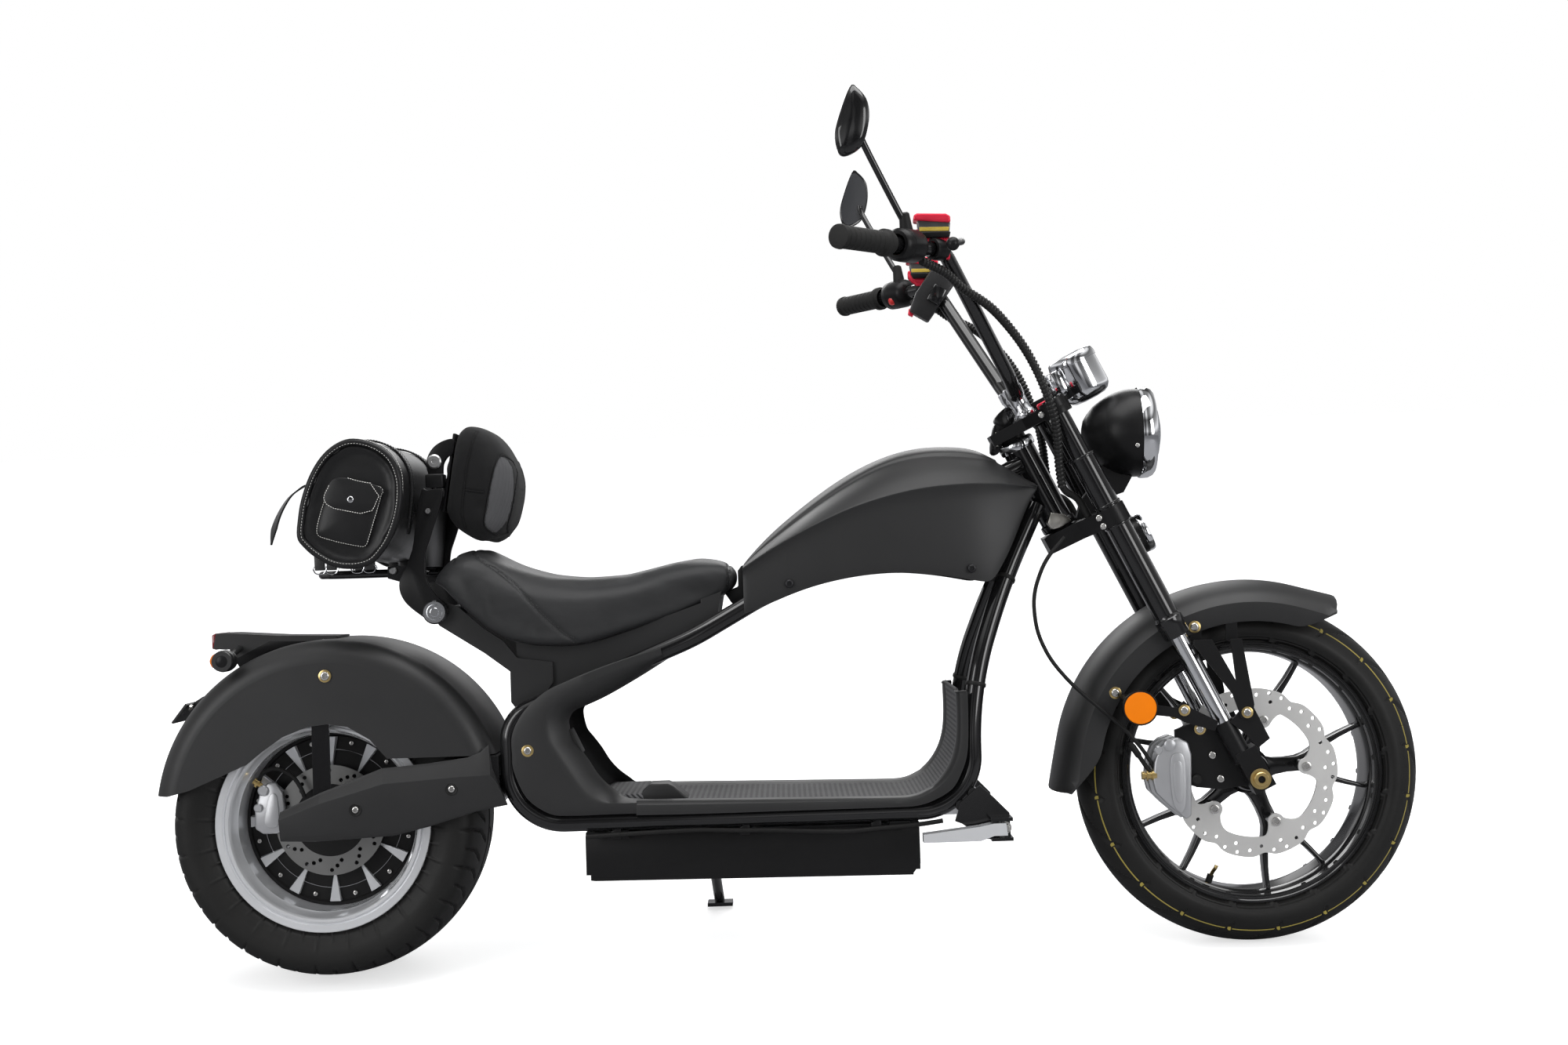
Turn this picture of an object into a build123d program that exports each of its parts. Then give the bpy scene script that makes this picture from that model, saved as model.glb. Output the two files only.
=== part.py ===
"""Fat tire electric scooter: frame, wheels, fork, stand and pegs as separate pieces."""

import os
from math import cos, degrees, radians, sin, sqrt, tan

from build123d import *

# Everything is modelled upright in millimetres: X forward from the rear axle, Y to the left,
# Z up from the ground. The pieces are then leant onto the side stand for export.

# Wheels and tyres
WHEELBASE = 1410.0
REAR_TYRE_R = 238.4
REAR_CROWN_R = 300.0
REAR_TYRE_HALF = 107.5
FRONT_TYRE_R = 263.0
FRONT_CROWN_R = 60.0
REAR_AXLE = Vector(0, 0, 238.4)
FRONT_AXLE = Vector(WHEELBASE, 0, 264.0)
REAR_BARREL_R = 133.0
REAR_SEAT_R = REAR_BARREL_R + 19.4
REAR_LIP_R = REAR_SEAT_R + 9.6
FRONT_BARREL_R = 182.0
FRONT_SEAT_R = FRONT_BARREL_R + 6
FRONT_LIP_R = FRONT_SEAT_R + 11
AXLE_R = 8.0

# Steering head
RAKE = 26.0
HEAD_TOP = Vector(WHEELBASE - 335, 0, 777)
FORK_OFFSET = 69.0
FORK_HALF = 97.0
REST_TURN = 2.7

# Frame
TUBE_D = 28.0
LOOP_HALF = 112.0
FLOOR_TUBE_Z = 231.0

# Stand pose
LEAN = 8.0

# Clearances between separate pieces
FIT = 0.3
RUN = 0.06


# ---------------------------------------------------------------- shared shapes
def tube(points, diameter, bend):
    """Round bar along straight runs joined by tangent arcs."""
    with BuildPart() as made:
        with BuildLine() as path:
            FilletPolyline(*points, radius=bend)
        with BuildSketch(Plane(origin=path.line @ 0, z_dir=path.line % 0)):
            Circle(diameter / 2)
        sweep()
    return made.part


def cable(points, diameter):
    """Bent cable or hose whose arcs are as large as each pair of runs allows."""
    points = [Vector(point) for point in points]
    radii = []
    for before, here, after in zip(points, points[1:], points[2:]):
        turn = (here - before).get_angle(after - here)
        shorter = min((here - before).length, (after - here).length)
        radii.append(0.45 * shorter / tan(radians(turn / 2)))
    return tube(points, diameter, radii)


def rod(start, end, diameter):
    """Straight round bar between two points."""
    start = Vector(start)
    run = Vector(end) - start
    with BuildPart() as made:
        with BuildSketch(Plane(origin=start, z_dir=run)):
            Circle(diameter / 2)
        extrude(amount=run.length)
    return made.part


def side_plate(outline, y_low, y_high):
    """Flat plate of a side-view outline (X, Z), from y_low to y_high."""
    with BuildPart() as made:
        with BuildSketch(Plane.XZ.offset(-y_low)):
            with BuildLine():
                Polyline(*outline, close=True)
            make_face()
        extrude(amount=y_low - y_high)
    return made.part


def turned(profile, centre):
    """Body of revolution about a wheel's axle, from (across, radius) points."""
    with BuildPart() as made:
        with BuildSketch(Plane(origin=centre, x_dir=(0, 1, 0), z_dir=(1, 0, 0))):
            with BuildLine():
                Polyline(*profile, close=True)
            make_face()
        revolve(axis=Axis(centre, (0, 1, 0)))
    return made.part


def both_sides(piece):
    """A piece and its mirror image across the bike's middle plane."""
    with BuildPart() as pair:
        add(piece)
        mirror(piece, about=Plane.XZ)
    return pair.part


STEER = Plane(
    origin=HEAD_TOP,
    x_dir=(cos(radians(RAKE)), 0, sin(radians(RAKE))),
    z_dir=(-sin(radians(RAKE)), 0, cos(radians(RAKE))),
)


def steer(ahead, across, along):
    """Point in the steering frame: ahead of the axis, across the bike, up along the axis."""
    return STEER.from_local_coords(Vector(ahead, across, along))


def slab(outline, low, high):
    """Plate square to the steering axis, outline in (ahead, across), between two heights."""
    with BuildPart() as made:
        with BuildSketch(STEER.offset(low)):
            with BuildLine():
                Polyline(*outline, close=True)
            make_face()
        extrude(amount=high - low)
    return made.part


AXLE_LOCAL = STEER.to_local_coords(FRONT_AXLE)


def by_axle(*points):
    """Side outline (X, Z) measured from the front axle."""
    return [(FRONT_AXLE.X + x, FRONT_AXLE.Z + z) for x, z in points]


def by_head(*points):
    """Side outline (X, Z) measured from the top of the steering head."""
    return [(HEAD_TOP.X + x, HEAD_TOP.Z + z) for x, z in points]


def head_point(ahead, across, above):
    """Point measured from the top of the steering head, square to the bike."""
    return tuple(HEAD_TOP + Vector(ahead, across, above))


# ---------------------------------------------------------------- rear wheel
def flipped(points):
    """Section points mirrored to the other side of the wheel, in reverse order."""
    return [(-across, radius) for across, radius in reversed(points)]


def tyre(centre, bead, wall, crown, liner, liner_crown):
    """Tyre ring from half-section points: bead, wall arc, crown, then the inner liner."""
    with BuildPart() as made:
        with BuildSketch(Plane(origin=centre, x_dir=(0, 1, 0), z_dir=(1, 0, 0))):
            with BuildLine():
                Polyline(liner[0], *bead)
                ThreePointArc(*wall)
                ThreePointArc(wall[2], (0, crown), (-wall[2][0], wall[2][1]))
                ThreePointArc(*flipped(wall))
                Polyline(*flipped(bead), (-liner[0][0], liner[0][1]))
                Polyline(*[(-across, radius) for across, radius in liner])
                ThreePointArc((-liner[-1][0], liner[-1][1]), (0, liner_crown), liner[-1])
                Polyline(*reversed(liner))
            make_face()
        revolve(axis=Axis(centre, (0, 1, 0)))
    return made.part


REAR_LIP_Y = 92.0
LIP_T = 5.0
REAR_SHOULDER = 86.0
REAR_TREAD_T = 12.4
shoulder_drop = REAR_CROWN_R - sqrt(REAR_CROWN_R**2 - REAR_SHOULDER**2)


def up_wall(inner_radius, outer_radius, share):
    """Radius at a share of the way out through a tyre's wall or a rim's."""
    return inner_radius + share * (outer_radius - inner_radius)


rear_heel = (REAR_LIP_Y - FIT, REAR_LIP_R + 2)
rear_shoulder = (REAR_SHOULDER, REAR_TYRE_R - shoulder_drop)
with BuildPart() as rear_tyre:
    bead = [(REAR_LIP_Y - FIT, REAR_SEAT_R + FIT), rear_heel]
    wall = [rear_heel, (REAR_TYRE_HALF, up_wall(REAR_LIP_R, REAR_TYRE_R, 0.5366)), rear_shoulder]
    liner = [(76, REAR_SEAT_R + FIT)]
    for across, share in ((80, 0.105), (95, 0.471), (78, 0.6675)):
        liner.append((across, up_wall(REAR_LIP_R, REAR_TYRE_R, share)))
    add(tyre(REAR_AXLE, bead, wall, REAR_TYRE_R, liner, REAR_TYRE_R - REAR_TREAD_T))

with BuildPart() as rear_rim:
    add(
        turned(
            [
                (-REAR_LIP_Y, REAR_SEAT_R),
                (-REAR_LIP_Y, REAR_LIP_R),
                (-REAR_LIP_Y - LIP_T, REAR_LIP_R),
                (-REAR_LIP_Y - LIP_T, up_wall(REAR_BARREL_R, REAR_LIP_R, 0.35)),
                (-70, REAR_BARREL_R),
                (70, REAR_BARREL_R),
                (REAR_LIP_Y + LIP_T, up_wall(REAR_BARREL_R, REAR_LIP_R, 0.35)),
                (REAR_LIP_Y + LIP_T, REAR_LIP_R),
                (REAR_LIP_Y, REAR_LIP_R),
                (REAR_LIP_Y, REAR_SEAT_R),
                (60, up_wall(REAR_BARREL_R, REAR_SEAT_R, 0.8)),
                (40, up_wall(REAR_BARREL_R, REAR_SEAT_R, 0.3)),
                (-40, up_wall(REAR_BARREL_R, REAR_SEAT_R, 0.3)),
                (-60, up_wall(REAR_BARREL_R, REAR_SEAT_R, 0.8)),
            ],
            REAR_AXLE,
        )
    )

MOTOR_FACE_Y = -26.0
MOTOR_BOSS_Y = -44.7
with BuildPart() as hub_motor:
    add(
        turned(
            [
                (MOTOR_BOSS_Y, AXLE_R + RUN),
                (MOTOR_BOSS_Y, 54),
                (MOTOR_FACE_Y, 60),
                (MOTOR_FACE_Y, REAR_BARREL_R - FIT),
                (56, REAR_BARREL_R - FIT),
                (56, 60),
                (74, 40),
                (74, AXLE_R + RUN),
            ],
            REAR_AXLE,
        )
    )

REAR_DISC_Y = -49.0
REAR_DISC_R = 84.0
DISC_T = 4.0
PAD_GAP = 2.0
with BuildPart() as rear_brake_disc:
    inside, outside = REAR_DISC_Y + DISC_T, REAR_DISC_Y
    add(turned([(outside, 30), (outside, REAR_DISC_R), (inside, REAR_DISC_R), (inside, 30)], REAR_AXLE))

# ---------------------------------------------------------------- front wheel
FRONT_LIP_Y = 42.0
FRONT_TREAD_T = 10.0
front_heel = (FRONT_LIP_Y - FIT, FRONT_LIP_R + 2)
with BuildPart() as front_tyre:
    bead = [(FRONT_LIP_Y - FIT, FRONT_SEAT_R + FIT), front_heel]
    wall = [front_heel]
    for across, share in ((54, 0.1406), (58, 0.3031)):
        wall.append((across, up_wall(FRONT_LIP_R, FRONT_TYRE_R, share)))
    liner = [(34, FRONT_SEAT_R + FIT)]
    for across, share in ((34, 0.078), (46, 0.172), (50, 0.3594)):
        liner.append((across, up_wall(FRONT_LIP_R, FRONT_TYRE_R, share)))
    add(tyre(FRONT_AXLE, bead, wall, FRONT_TYRE_R, liner, FRONT_TYRE_R - FRONT_TREAD_T))

ARM_COUNT = 5
ARM_FIRST = 5.0
SPOKE_SPREAD = 15.0
ARM_SPLIT_R = 102.0


def on_wheel(radius, angle, across=0.0):
    """Point in the front wheel's side view, angle in degrees from forward towards up."""
    ahead = radius * cos(radians(angle)) - across * sin(radians(angle))
    above = radius * sin(radians(angle)) + across * cos(radians(angle))
    return (FRONT_AXLE.X + ahead, FRONT_AXLE.Z + above)


arms = []
for arm in range(ARM_COUNT):
    angle = ARM_FIRST + arm * 360 / ARM_COUNT
    stem = [on_wheel(36, angle, -15), on_wheel(36, angle, 15)]
    stem += [on_wheel(ARM_SPLIT_R, angle, 12), on_wheel(ARM_SPLIT_R, angle, -12)]
    arms.append(side_plate(stem, -13, 13))
    for spread in (-SPOKE_SPREAD, SPOKE_SPREAD):
        root = [on_wheel(ARM_SPLIT_R - 12, angle, side + spread / 3) for side in (-5, 5)]
        tip = [on_wheel(FRONT_BARREL_R + 1.5, angle + spread, side) for side in (4.5, -4.5)]
        arms.append(side_plate(root + tip, -13, 13))

HUB_HALF = 47.0
with BuildPart() as front_rim:
    lip = FRONT_LIP_Y
    add(
        turned(
            [
                (-lip, FRONT_SEAT_R),
                (-lip, FRONT_LIP_R),
                (-lip - 4, FRONT_LIP_R),
                (-lip - 4, up_wall(FRONT_BARREL_R, FRONT_LIP_R, 0.18)),
                (-30, FRONT_BARREL_R),
                (30, FRONT_BARREL_R),
                (lip + 4, up_wall(FRONT_BARREL_R, FRONT_LIP_R, 0.18)),
                (lip + 4, FRONT_LIP_R),
                (lip, FRONT_LIP_R),
                (lip, FRONT_SEAT_R),
                (28, up_wall(FRONT_BARREL_R, FRONT_SEAT_R, 0.7)),
                (-28, up_wall(FRONT_BARREL_R, FRONT_SEAT_R, 0.7)),
            ],
            FRONT_AXLE,
        )
    )
    add(turned([(-HUB_HALF, 6), (-HUB_HALF, 40), (HUB_HALF, 40), (HUB_HALF, 6)], FRONT_AXLE))
    for arm_piece in arms:
        add(arm_piece)
    add(turned([(-60, 0), (-60, AXLE_R + RUN), (60, AXLE_R + RUN),
    (60, 0)], FRONT_AXLE), mode=Mode.SUBTRACT),

FRONT_DISC_Y = -54.0
FRONT_DISC_R = 129.0
with BuildPart() as front_brake_disc:
    ring = [(FRONT_DISC_Y, 90), (FRONT_DISC_Y, FRONT_DISC_R)]
    ring += [(FRONT_DISC_Y + DISC_T, FRONT_DISC_R), (FRONT_DISC_Y + DISC_T, 90)]
    add(turned(ring, FRONT_AXLE))
    for arm in range(ARM_COUNT):
        angle = ARM_FIRST + arm * 360 / ARM_COUNT
        tab = [on_wheel(30, angle, -9), on_wheel(30, angle, 9)]
        tab += [on_wheel(95, angle, 14), on_wheel(95, angle, -14)]
        add(side_plate(tab, FRONT_DISC_Y, FRONT_DISC_Y + DISC_T))
    flange = [(FRONT_DISC_Y, 20), (FRONT_DISC_Y, 38), (-HUB_HALF - FIT, 38), (-HUB_HALF - FIT, 20)]
    add(turned(flange, FRONT_AXLE))

# ---------------------------------------------------------------- frame
HEAD_D = 50.0
TRAY_UNDER = 246.0
LOOP_FRONT_X = HEAD_TOP.X - 98
LOOP_REAR_X = 286.0
FLOOR_BEND = 80.0
loop_path = [
    head_point(23, 20, -94),
    head_point(-39, 66, -211),
    (LOOP_FRONT_X, LOOP_HALF, 408),
    (LOOP_FRONT_X, LOOP_HALF, FLOOR_TUBE_Z),
    (LOOP_REAR_X, LOOP_HALF, FLOOR_TUBE_Z),
    (LOOP_REAR_X, LOOP_HALF, 390),
    (566, LOOP_HALF, 500),
    (660, 100, 552),
    head_point(1, 20, -30),
]
loop_bends = [60, 60, FLOOR_BEND, FLOOR_BEND, 50, 80, 80]
left_loop = tube(loop_path, TUBE_D, loop_bends)
HEAD_LOW = -135.0
HEAD_HIGH = -2.0
head_tube = rod(steer(0, 0, HEAD_LOW), steer(0, 0, HEAD_HIGH), HEAD_D)
CROSS_D = 24.0
SWING_PIVOT = (322, 286)
SEAT_CROSS = (420, 442)
under_tray = TRAY_UNDER - CROSS_D / 2 - FIT
cross_tubes = [
    rod((x, -LOOP_HALF, z), (x, LOOP_HALF, z), CROSS_D)
    for x, z in (SWING_PIVOT, SEAT_CROSS, (640, under_tray), (LOOP_FRONT_X - 117, under_tray))
]
loop_clearance = both_sides(tube(loop_path, TUBE_D + 2 * FIT, loop_bends))
with BuildPart() as frame_loops:
    add(both_sides(left_loop))
    head_room = HEAD_D + 2 * FIT
    add(rod(steer(0, 0, HEAD_LOW - 5), steer(0, 0, HEAD_HIGH + 7), head_room), mode=Mode.SUBTRACT)

# Front peg bracket: gusset plate, clevis of two ears and an upright pin
PEG_PIVOT = Vector(LOOP_FRONT_X + 35, 152, 206)
PEG_PIN_R = 5.0
PLATE_Y = (LOOP_HALF + TUBE_D / 2 + FIT, LOOP_HALF + 20)
PEG_HALF = 12.0


def by_peg(*points):
    """Side outline (X, Z) measured from the peg's pin."""
    return [(PEG_PIVOT.X + x, PEG_PIVOT.Z + z) for x, z in points]


gusset_side = by_peg((-66, 10), (-58, 36), (-28, 62), (-8, 44), (15, 20), (16, -18), (-22, -18), (-56, 6))
pin_reach = Vector(0, 0, 14)
peg_bracket = [
    side_plate(gusset_side, *PLATE_Y),
    rod(PEG_PIVOT - pin_reach, PEG_PIVOT + pin_reach, 2 * PEG_PIN_R),
]
for ear_low in (-17, 12):
    ear = by_peg((-16, ear_low), (-16, ear_low + 5), (16, ear_low + 5), (16, ear_low))
    peg_bracket.append(side_plate(ear, PLATE_Y[1] - 1, PEG_PIVOT.Y + PEG_HALF))

# Side stand bracket on the left, with a pin square to the plane the stand folds in
STAND_PIVOT = Vector(575, 124, 150)
STAND_SPLAY = 50.0
STAND_AXIS = Vector(0, sin(radians(STAND_SPLAY)), cos(radians(STAND_SPLAY)))
STAND_PIN_R = 6.0
EYE_HALF = 9.0
stand_hanger = [(99, 205), (99, 216.7), (126, 216.7), (160, 196), (148, 164), (124, 176)]
stand_block = rod(STAND_PIVOT + STAND_AXIS * (EYE_HALF + FIT), STAND_PIVOT + STAND_AXIS * 38, 30)
stand_pin = rod(STAND_PIVOT - STAND_AXIS * 12, STAND_PIVOT + STAND_AXIS * 12, 2 * STAND_PIN_R)
with BuildPart() as stand_bracket:
    with BuildSketch(Plane(origin=(STAND_PIVOT.X - 15, 0, 0), x_dir=(0, 1, 0), z_dir=(1, 0, 0))):
        with BuildLine():
            Polyline(*stand_hanger, close=True)
        make_face()
    extrude(amount=30)
    add(stand_block)
    eye_room = rod(STAND_PIVOT - STAND_AXIS * 40, STAND_PIVOT + STAND_AXIS * (EYE_HALF + FIT), 60)
    add(eye_room, mode=Mode.SUBTRACT)
    add(stand_pin)

pivot_gusset = [(312, 256), (322, 246), (336, 250), (342, 290), (330, 306), (312, 306), (304, 292)]
with BuildPart() as frame_spine:
    for cross in cross_tubes:
        add(cross)
    add(both_sides(side_plate(pivot_gusset, 100, 110)))
    for piece in peg_bracket:
        add(both_sides(piece))
    for x, z in by_peg((-56, 32), (-37, 50)):
        add(both_sides(rod((x, 100, z), (x, PLATE_Y[0] + 1, z), 16)))
    add(stand_bracket.part)
    add(loop_clearance, mode=Mode.SUBTRACT)
    add(head_tube)

# ---------------------------------------------------------------- floor, battery, covers
with BuildPart() as battery_box:
    nose = LOOP_FRONT_X - 82
    box_side = [(394, 212), (394, 160), (406, 140), (nose - 13, 134), (nose, 150), (nose, 212)]
    box_half = LOOP_HALF - TUBE_D / 2
    add(side_plate(box_side, -box_half, box_half))
    hanger_top = FLOOR_TUBE_Z - TUBE_D / 2 - FIT
    for x in (430, nose - 45):
        hanger = [(x, 205), (x, hanger_top), (x + 30, hanger_top), (x + 30, 205)]
        add(both_sides(side_plate(hanger, box_half - 2, LOOP_HALF + 4)))

# Floor tray: dished panel that runs up behind the front bend, with a trim over each tube
TRAY_TOP = TRAY_UNDER + 16


def by_loop(*points):
    """Side outline measured back from the loops' front tubes and up from the tray's underside."""
    return [(LOOP_FRONT_X - back, TRAY_UNDER + rise) for back, rise in points]


floor_top = [(405, TRAY_TOP), (548, TRAY_TOP)]
floor_top += by_loop((142, 5), (99, 5), (68, 15), (44, 33), (29, 57), (21, 84), (19, 163))
floor_under = by_loop((14, 163), (15, 84), (23, 55), (39, 29), (64, 10), (97, 0))
floor_under += [(405, TRAY_UNDER)]
trim_top = [(478, TRAY_TOP)] + floor_top[1:]
trim_under = by_loop((6, 163), (7, 66), (17, 42), (34, 17), (62, 1), (92, -5))
trim_under += [(478, TRAY_UNDER - 6)]
TRAY_HALF = 97.0
MAT_HALF = 88.0
TRIM_HALF = LOOP_HALF + 18
with BuildPart() as floor_tray:
    add(side_plate(floor_top + floor_under, -TRAY_HALF, TRAY_HALF))
    add(both_sides(side_plate(trim_top + trim_under, TRAY_HALF - 5, TRIM_HALF)))
    add(loop_clearance, mode=Mode.SUBTRACT)
    for cross in cross_tubes:
        add(cross, mode=Mode.SUBTRACT)

MAT_TOP = TRAY_TOP + 21
mat_side = [(429, TRAY_TOP + FIT), (548, TRAY_TOP + FIT)]
mat_side += by_loop((142, 5 + FIT), (142, 18), (284, 25))
mat_side += [(548, MAT_TOP - 6), (525, MAT_TOP), (429, MAT_TOP)]
with BuildPart() as floor_mat:
    add(side_plate(mat_side, -MAT_HALF, MAT_HALF))

side_cover_outline = [
    (292, 361), (294, 311), (312, 271), (345, 247), (377, 243), (472, 243), (475, 264), (411, 266),
    (385, 289), (367, 322), (348, 355), (342, 375), (349, 392), (389, 403), (436, 425), (526, 468),
    (517, 488), (417, 458), (344, 428), (317, 406), (300, 383),
]
with BuildPart() as side_covers:
    add(both_sides(side_plate(side_cover_outline, *PLATE_Y)))

SEAT_GAP = FIT
seat_side = [
    (176, 597), (198, 627), (222, 641.5), (239, 641), (259, 630), (305, 608), (352, 595), (406, 590),
    (467, 593), (536, 609), (583, 616), (617, 613), (632, 602), (633, 582), (611, 563), (538, 538),
    (485, 522), (438, 508), (398, 496), (369, 493), (326, 496), (287, 505), (255, 526), (216, 563),
    (191, 591),
]
seat_plan = [(170, -110), (200, -140), (260, -150), (330, -146), (430, -120), (560, -95), (640, -80)]
seat_plan += [(x, -y) for x, y in reversed(seat_plan)]
with BuildPart() as seat:
    add(side_plate(seat_side, -160, 160))
    with BuildSketch(Plane.XY.offset(450)):
        with BuildLine():
            Polyline(*seat_plan, close=True)
        make_face()
    extrude(amount=250, mode=Mode.INTERSECT)

PLATE_IN = 92.0
PLATE_OUT = LOOP_HALF - TUBE_D / 2 - FIT
base_side = [
    (301, 402), (318, 412), (420, 446), (566, 503), (600, 520), (609, 568), (538, 543), (485, 527),
    (438, 513), (398, 501), (369, 498), (326, 501), (297, 508),
]
rack_side = [
    (176, 540), (184, 530), (250, 487), (288, 458), (288, 412), (300, 396), (330, 410), (352, 440),
    (352, 470),
    (299, 478), (279, 504), (250, 524), (211, 559), (192, 566), (178, 562),
]
with BuildPart() as seat_mount:
    add(side_plate(base_side, -PLATE_IN + FIT, PLATE_IN - FIT))
    x, z = SEAT_CROSS
    add(rod((x, -100, z), (x, 100, z), CROSS_D + 2 * FIT), mode=Mode.SUBTRACT)
    add(Pos(0, 0, -FIT) * seat.part, mode=Mode.SUBTRACT)
    add(both_sides(side_plate(rack_side, PLATE_IN, PLATE_OUT)))
    add(rod((187, -PLATE_IN, 552), (187, PLATE_IN, 552), 14))

# Tank cover half-sections: share of its length, ridge, panel top, crease and lower heights, half width
tank_sections = [
    (0, 606, 604, 603, 534, 122),
    (0.1007, 658, 645, 633, 550, 124),
    (0.2125, 698, 682, 659, 569, 125),
    (0.3468, 740, 720, 686, 583, 125),
    (0.481, 768, 752, 704, 588, 125),
    (0.6152, 781, 765, 715, 584, 123),
    (0.7494, 782, 763, 719, 574, 118),
    (0.8322, 772, 757, 718, 566, 110),
    (0.9172, 746, 742, 717, 632, 96),
    (1, 723, 720, 713, 703, 74),
]
TANK_WALL = 4.0
TANK_REAR = 645.0
TANK_FRONT = HEAD_TOP.X + 17


def tank_body(wall, drop):
    """Tank form drawn in by a wall, its underside lowered by drop."""
    with BuildPart() as body:
        for share, ridge, panel, crease, lower, half in tank_sections:
            inset = half - wall
            x = TANK_REAR + wall + share * (TANK_FRONT - TANK_REAR - 2 * wall)
            right = [(-inset * 0.48, panel - wall), (-inset, crease - wall / 2)]
            right.append((-inset * 0.96, lower - drop))
            left = [(-y, z) for y, z in reversed(right)]
            with BuildSketch(Plane(origin=(x, 0, 0), x_dir=(0, 1, 0), z_dir=(1, 0, 0))):
                with BuildLine():
                    Polyline((0, ridge - wall + 0.5), *right, *left, close=True)
                make_face()
        loft(ruled=True)
    return body.part


tank_outside = tank_body(0, 0)
tank_inside = tank_body(TANK_WALL, 12)
with BuildPart() as tank_shell:
    add(tank_outside)
    add(tank_inside, mode=Mode.SUBTRACT)
    add(loop_clearance, mode=Mode.SUBTRACT)
    notch = by_head((-44, -277), (-44, 23), (45, 23), (45, -277))
    add(side_plate(notch, -42, 42), mode=Mode.SUBTRACT)

# ---------------------------------------------------------------- backrest, rack and bag
POST_IN = PLATE_OUT + 2 * FIT
POST_OUT = POST_IN + 8
post_outline = [
    (173, 736), (195, 736), (191, 709), (176, 666), (168, 640), (166, 600), (182, 576), (197, 562),
    (197, 545),
    (179, 535), (160, 545), (130, 570), (127, 600), (149, 649), (155, 701), (163, 736),
]
collar_outline = [(171, 739), (171, 758), (196, 758), (196, 739)]
arm_outline = [
    (176, 758), (169, 770), (170, 782), (178, 799), (198, 809), (212, 809), (208, 785), (203, 786),
    (193, 771), (190, 758),
]
pad_plate = [(211, 820), (215, 820), (195, 702), (190.5, 703)]
with BuildPart() as backrest_post:
    add(both_sides(side_plate(post_outline, POST_IN, POST_OUT)))
    add(both_sides(side_plate(collar_outline, POST_IN - 22, POST_OUT)))
    add(both_sides(rod((183, POST_IN + 3, 730), (183, POST_IN + 3, 745), 9)))
    add(both_sides(side_plate(arm_outline, POST_IN - 18, POST_IN - 8)))
    add(side_plate(pad_plate, -POST_IN + 8, POST_IN - 8))
    cross_plate = [(152, 622), (172, 700), (179, 734), (183, 733), (176, 699), (156, 621)]
    add(side_plate(cross_plate, -POST_IN, POST_IN))

pad_outline = [
    (216, 820), (228, 829), (247, 835), (268, 831), (287, 805), (300, 757), (290, 686), (272, 658),
    (250, 651), (212, 676), (196, 702),
]
pad_plan = [(180, -112), (262, -122), (302, -70), (302, 70), (262, 122), (180, 112)]
with BuildPart() as backrest_pad:
    add(side_plate(pad_outline, -130, 130))
    with BuildSketch(Plane.XY.offset(600)):
        with BuildLine():
            Polyline(*pad_plan, close=True)
        make_face()
    extrude(amount=300, mode=Mode.INTERSECT)

RACK_Z = 612.0
RACK_BAR = 12.0
rack_loop = [
    (152, -80, RACK_Z), (20, -80, RACK_Z), (0, -60, RACK_Z), (0, 60, RACK_Z), (20, 80, RACK_Z),
    (152, 80, RACK_Z),
]
rack_ear = [(108, 604), (108, 622), (140, 622), (156, 612), (152, 596), (134, 596)]
with BuildPart() as luggage_rack:
    add(tube(rack_loop, RACK_BAR, 12))
    for x in (40, 85):
        add(rod((x, -80, RACK_Z), (x, 80, RACK_Z), 9))
    add(rod((134, -POST_IN + FIT, RACK_Z), (134, POST_IN - FIT, RACK_Z), 9))
    add(both_sides(side_plate(rack_ear, POST_IN - 8 - FIT, POST_IN - FIT)))

BAG_HALF = 190.0
bag_floor = RACK_Z + RACK_BAR / 2 + FIT
bag_outline = [
    (3, 725), (17, 757), (38, 789), (71, 808), (97, 807), (127, 791), (143, 764), (145, 731), (140, 676),
    (128, 640), (100, bag_floor), (54, bag_floor), (22, 648), (5, 670), (1, 692),
]
with BuildPart() as roll_bag:
    add(side_plate(bag_outline, -BAG_HALF, BAG_HALF))
    add(both_sides(side_plate(rack_ear, POST_IN - 10, POST_IN)), mode=Mode.SUBTRACT)

# ---------------------------------------------------------------- rear end
SWING_IN = 114.0
SWING_OUT = 125.7
SPACER_D = 34.0
swing_side = [
    (-40, 226), (-40, 250), (0, 262), (120, 282), (246, 296), (271, 300), (271, 262), (120, 238),
    (0, 222),
]
bridge_side = [(246, 262), (246, 335), (271, 335), (271, 262)]
strap_side = [(-7, 250), (-7, 430), (19, 430), (19, 250)]
with BuildPart() as swing_arm:
    add(both_sides(side_plate(swing_side, SWING_IN, SWING_OUT)))
    add(side_plate(bridge_side, -SWING_OUT, SWING_OUT))
    add(side_plate([(270, 272), (270, 300), (318, 300), (318, 272)], -60, 60))
    add(both_sides(side_plate(strap_side, 118, 121.7)))
    add(rod((0, -SWING_OUT, REAR_AXLE.Z), (0, SWING_OUT, REAR_AXLE.Z), 2 * AXLE_R))
    add(rod((0, -SWING_IN, REAR_AXLE.Z), (0, -60, REAR_AXLE.Z), SPACER_D))
    add(rod((0, SWING_IN, REAR_AXLE.Z), (0, 79, REAR_AXLE.Z), SPACER_D))
    add(loop_clearance, mode=Mode.SUBTRACT)
    x, z = SWING_PIVOT
    add(rod((x, -100, z), (x, 100, z), CROSS_D + 2 * FIT), mode=Mode.SUBTRACT)

cover_side = [
    (-56, 262), (5, 289), (97, 322), (165, 327), (225, 334), (244, 341), (257, 352), (260, 326),
    (264, 296), (284, 262), (237, 254), (167, 234), (113, 222), (-3, 217), (-48, 213), (-55, 219),
]
with BuildPart() as swing_arm_covers:
    add(both_sides(side_plate(cover_side, SWING_OUT + FIT, SWING_OUT + 7.3)))

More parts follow.
